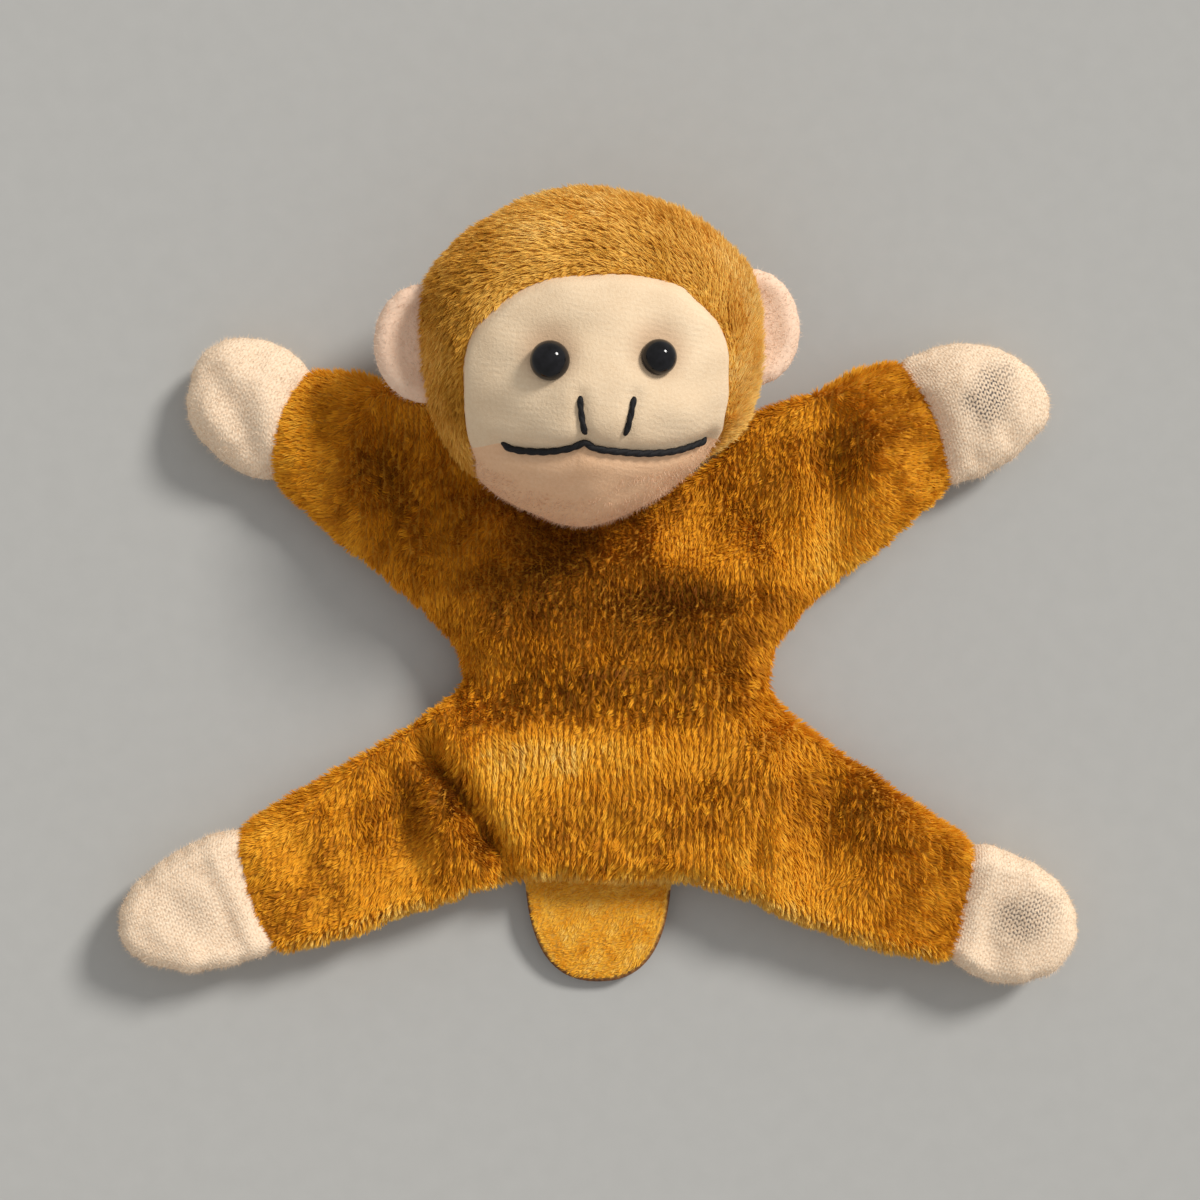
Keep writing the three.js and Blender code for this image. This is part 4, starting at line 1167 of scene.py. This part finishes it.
bodyPiles = [("chest", skins["torso"], chestPile, onChest), ("belly", skins["torso"], bellyPile, onBelly),
             *[(name, skins[name], limbPile, onSleeve(limb)) for name, limb in limbPlan.items()]]
piles = {name: plantPile(name + "_pile", skin, bodyLay, bodyToneAndShade, 100 + k, plan, keep, hemLong, hemCurl)
         for k, (name, skin, plan, keep) in enumerate(bodyPiles)}
piles["head"] = plantPile("head_pile", head, headLay, headToneAndShade, 110, headPile, onCrown, nearFace)
piles["neck"] = plantPile("neck_pile", neck, bodyLay, bodyToneAndShade, 111, neckPile, onNeck)
piles["tail"] = plantPile("tail_pile", tail, tailLay, tailTone, 120, tailPile, onTail)
napPlaces = {"chin": (chin, onChin), "ear_left": (ears["left"], None), "ear_right": (ears["right"], None),
             **{limb["paw"]: (skins[limb["paw"]], onPaw(limb)) for limb in limbPlan.values()}}
naps = {name: plantPile(piece.name.replace("_knit", "_nap"), piece, anyWay, evenTone, 130 + k, napPlan, keep)
        for k, (name, (piece, keep)) in enumerate(napPlaces.items())}
print("pile planted:", {name: len(p.data.polygons) // 3 for name, p in piles.items()})


# Finishes of each piece

def pileFinish(name, stops, root, grain=0.36):
    f = Finish(name, Roughness=0.7, Specular_IOR_Level=0.2)
    height, chance, toneAndShade = f.parts(f.kept("pile"))
    colour = f.ramp((toneAndShade * 0.38 + 0.5 + (chance - 0.5) * grain).clip(), *stops)
    return f.use(Base_Color=f.blend(height, f.blend(0.35, colour, root), colour))


def pawFinish():  # a knit of loops in wales, with the magnet showing through its holes
    wide, high = 0.85, 0.7
    f = Finish("paw_knit", Roughness=0.95, Specular_IOR_Level=0.2)
    place = f.kept("rest")
    u, v, w = f.parts(place)
    wale = u / wide + (f.noise(place, 0.3, 2) - 0.5) * 1.6
    row = v / high + (f.noise(place, 0.25, 2) - 0.5) * 1.8
    chevron = (wale.fract() - 0.5).abs() * 1.1
    loop = ((row + chevron) * fullTurn).sin() * 0.5 + 0.5
    knit = loop * 0.55 + (wale * fullTurn).sin().abs() * 0.45
    fuzz = f.noise(place, 2.2, 3, 0.6)
    disc = (u * u + v * v * 1.4 - u * v * 0.8) ** 0.5 + (f.noise(place, 0.3, 2) - 0.5) * 5.0
    show = (1 - disc.step(1.6, 6.4)) * w.step(4.4, 6.5) * f.kept("show", "Fac")
    hole = (1 - knit + (fuzz - 0.5) * 0.9).step(0.42, 0.74)
    flesh = f.ramp(knit * 0.35 + fuzz * 0.65, (0.15, (0.76, 0.54, 0.36)), (0.5, (0.89, 0.69, 0.50)),
                   (0.85, (0.95, 0.79, 0.61)))
    colour = f.blend((show * (hole * 0.85 + 0.1)).clip(), flesh, (0.075, 0.07, 0.075))
    return f.use(Base_Color=colour, Normal=f.bump(knit * 0.6 + fuzz * 0.5, 0.45, 0.0003))


def feltFinish(name, pale, deep, shadeAndBlush, paintsEyeShade=False):  # brushed knit; on the face, painted shade round the eyes and darker towards the mouth
    f = Finish(name, Roughness=0.95, Specular_IOR_Level=0.2)
    place = f.kept("rest")
    x, y, z = f.parts(place)
    fuzz, cloud = f.noise(place, 2.4, 4, 0.65), f.noise(place, 0.16, 2)
    rib = ((y + x * 0.2 + (f.noise(place, 0.25, 1) - 0.5) * 1.2) * (fullTurn / 0.85)).sin() * 0.5 + 0.5
    rib = rib * cloud.step(0.35, 0.65)
    colour = f.ramp(fuzz * 0.62 + rib * 0.07 + cloud * 0.3, (0.25, deep), (0.75, pale))
    if paintsEyeShade:
        eyeX, eyeY = headPlan["eyes"]
        besideEye, overEye = x.abs() - eyeX, y - eyeY - 1.2
        away = (besideEye * besideEye + overEye * overEye) ** 0.5
        # painted shade round and above the eyes
        colour = f.blend((1 - away.step(1.6, 5.6)) * 0.75, colour, shadeAndBlush)
        # darker towards the mouth
        colour = f.blend((1 - y.step(-16, -9)) * 0.3, colour, shadeAndBlush)
    else:
        colour = f.blend(cloud.step(0.45, 0.75) * 0.4, colour, shadeAndBlush)
    return f.use(Base_Color=colour, Normal=f.bump(fuzz * 0.8 + rib * 0.12, 0.5, 0.0003))


def threadFinish():
    f = Finish("black_thread", Roughness=0.7, Specular_IOR_Level=0.3)
    fibre = f.noise(f.kept("rest"), 6, 3, 0.6)
    return f.use(Base_Color=f.ramp(fibre, (0.3, (0.003, 0.003, 0.004)), (0.8, (0.014, 0.014, 0.017))),
                 Normal=f.bump(fibre, 0.5, 0.0001))


def eyeFinish():
    f = Finish("eye_gloss", Specular_IOR_Level=0.35, IOR=1.4)
    smear = f.noise(f.place(), 900, 2)
    return f.use(Base_Color=f.ramp(smear, (0.3, (0.004, 0.004, 0.005)), (0.7, (0.012, 0.012, 0.015))),
                 Roughness=smear.step(0.2, 0.9) * 0.05 + 0.03)


def tailFinish():  # burnt dark along the cut edge
    f = Finish("tail_cloth", Roughness=0.9, Sheen_Weight=0.15)
    grain = f.noise(f.place(), 1800, 3)
    cloth = f.ramp(grain, (0.3, (0.60, 0.27, 0.02)), (0.7, (0.86, 0.46, 0.06)))
    burnt = f.ramp(grain, (0.3, (0.10, 0.034, 0.005)), (0.7, (0.28, 0.10, 0.016)))
    rim = 1 - (f.kept("edge", "Fac") + (grain - 0.5) * 0.5).step(0.1, 0.6)
    return f.use(Base_Color=f.blend(rim, cloth, burnt), Normal=f.bump(grain, 0.4, 0.0003))


gold = ((0.0, (0.20, 0.052, 0.001)), (0.3, (0.56, 0.195, 0.004)), (0.55, (0.92, 0.41, 0.014)), (0.8, (1.0, 0.56, 0.05)),
        (1.0, (1.0, 0.68, 0.16)))
tan = ((0.0, (0.36, 0.14, 0.010)), (0.3, (0.72, 0.36, 0.04)), (0.6, (0.95, 0.58, 0.12)), (1.0, (1.0, 0.78, 0.32)))
pileFinish("plush_pile", gold, (0.40, 0.14, 0.004)).on(*[p for name, p in piles.items() if name != "head"])
pileFinish("crown_pile", tan, (0.50, 0.22, 0.015), grain=0.26).on(piles["head"])
# the chin's nap is painted darker and pinker too: painted shade and a painted reflection of the orange pile
napColours = {"chin": (0.84, 0.58, 0.40), "ear": (0.97, 0.79, 0.64), "hand": (0.90, 0.72, 0.54)}
for kind, pale in napColours.items():
    mine = [p for name, p in naps.items() if name.replace("foot", "hand").startswith(kind)]
    deep = tuple(0.8 * c for c in pale)
    pileFinish(kind + "_nap", ((0.2, deep), (0.8, pale)), deep).on(*mine)
grainFinish("plush_backing", (0.42, 0.165, 0.006), (0.62, 0.27, 0.012), 2600, 2, bump=(0.4, 0.0004),
            Roughness=0.95).on(head, neck, skins["torso"], *[skins[name] for name in limbPlan])
pawKnit = pawFinish()
for limb in limbPlan.values():
    paw = skins[limb["paw"]]
    p = pointsOf(paw.data)
    out, up = pawFrame(limb, p)
    note(paw.data, "rest", np.stack([out - limb["magnet"], up, p[:, 2]], 1))
    note(paw.data, "show", np.full(len(p), limb["show"]))
    pawKnit.on(paw)
feltFinish("face_felt", (0.90, 0.72, 0.51), (0.77, 0.57, 0.37), (0.60, 0.40, 0.25), paintsEyeShade=True).on(face)
# the chin is the face's felt painted darker and pinker: painted shade and a painted reflection of the orange pile
feltFinish("chin_felt", (0.92, 0.61, 0.39), (0.78, 0.47, 0.27), (0.76, 0.44, 0.25)).on(chin)
feltFinish("ear_felt", (0.96, 0.74, 0.57), (0.85, 0.57, 0.41), (0.85, 0.53, 0.37)).on(*ears.values())
threadFinish().on(mouth, *noses.values())
eyeFinish().on(*eyes.values())
tailFinish().on(tail)
magnets = [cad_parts[limb["paw"] + "_magnet"] for limb in limbPlan.values()]
grainFinish("magnet", (0.05, 0.05, 0.055), (0.12, 0.12, 0.125), 1500, 3, gloss=(0.4, 0.3), Metallic=0.7).on(*magnets)
washers = [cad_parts["eye_washer_" + side] for side in sides]
grainFinish("washer", (0.66, 0.66, 0.64), (0.76, 0.76, 0.74), 700, 2, gloss=(0.2, 0.35),
            Specular_IOR_Level=0.4).on(*washers)
print("finishes done")


# Which body the torso, head and neck pieces follow; the limbs, paws, ears and tail stay where they are

def metres(*p):
    return tuple(x * mm for x in p)


for piece in (skins["torso"], piles["chest"], piles["belly"]):
    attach(piece, "torso")
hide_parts("torso_front", "torso_back", "torso_stuffing")

for name, limb in limbPlan.items():
    near, far = bodyPlan["armBend"] if name.startswith("arm") else bodyPlan["legBend"]
    start, end = (metres(limb["side"] * x, 0, bodyPlan["seam"]) for x in (near, far))
    for piece in (skins[name], piles[name]):
        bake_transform(piece)
    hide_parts(name + "_front", name + "_back", name + "_stuffing")
    pawName, paw = limb["paw"], skins[limb["paw"]]
    start, end = (metres(*limb["middle"] + limb["out"] * d, bodyPlan["seam"]) for d in bodyPlan["pawBend"])
    for piece in (paw, naps[pawName]):
        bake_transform(piece)
    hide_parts(pawName + "_front", pawName + "_back", pawName + "_wadding")

for piece in (head, piles["head"], face, chin, naps["chin"], mouth, *noses.values(), *eyes.values()):
    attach(piece, "head")
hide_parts("crown_front", "head_back", "head_stuffing")
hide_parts("face_panel")
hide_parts("chin_panel")
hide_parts("mouth_stitch")
for side, sign in sides.items():
    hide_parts("nose_stitch_" + side)
    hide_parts("eye_" + side)
    start, end = (metres(*toToy(np.array([sign * x, earPlan["y"], 0]))) for x in earPlan["bend"])
    for piece in (ears[side], naps["ear_" + side]):
        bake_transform(piece)
    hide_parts("ear_" + side)

for piece in (neck, piles["neck"]):
    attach(piece, "neck")
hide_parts("neck_tube")
for piece in (tail, piles["tail"]):
    metres(-2, -41.6, 4.5)
    metres(-2, -44.4, 4.5)
    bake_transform(piece)
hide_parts("tail")
print("pieces placed")
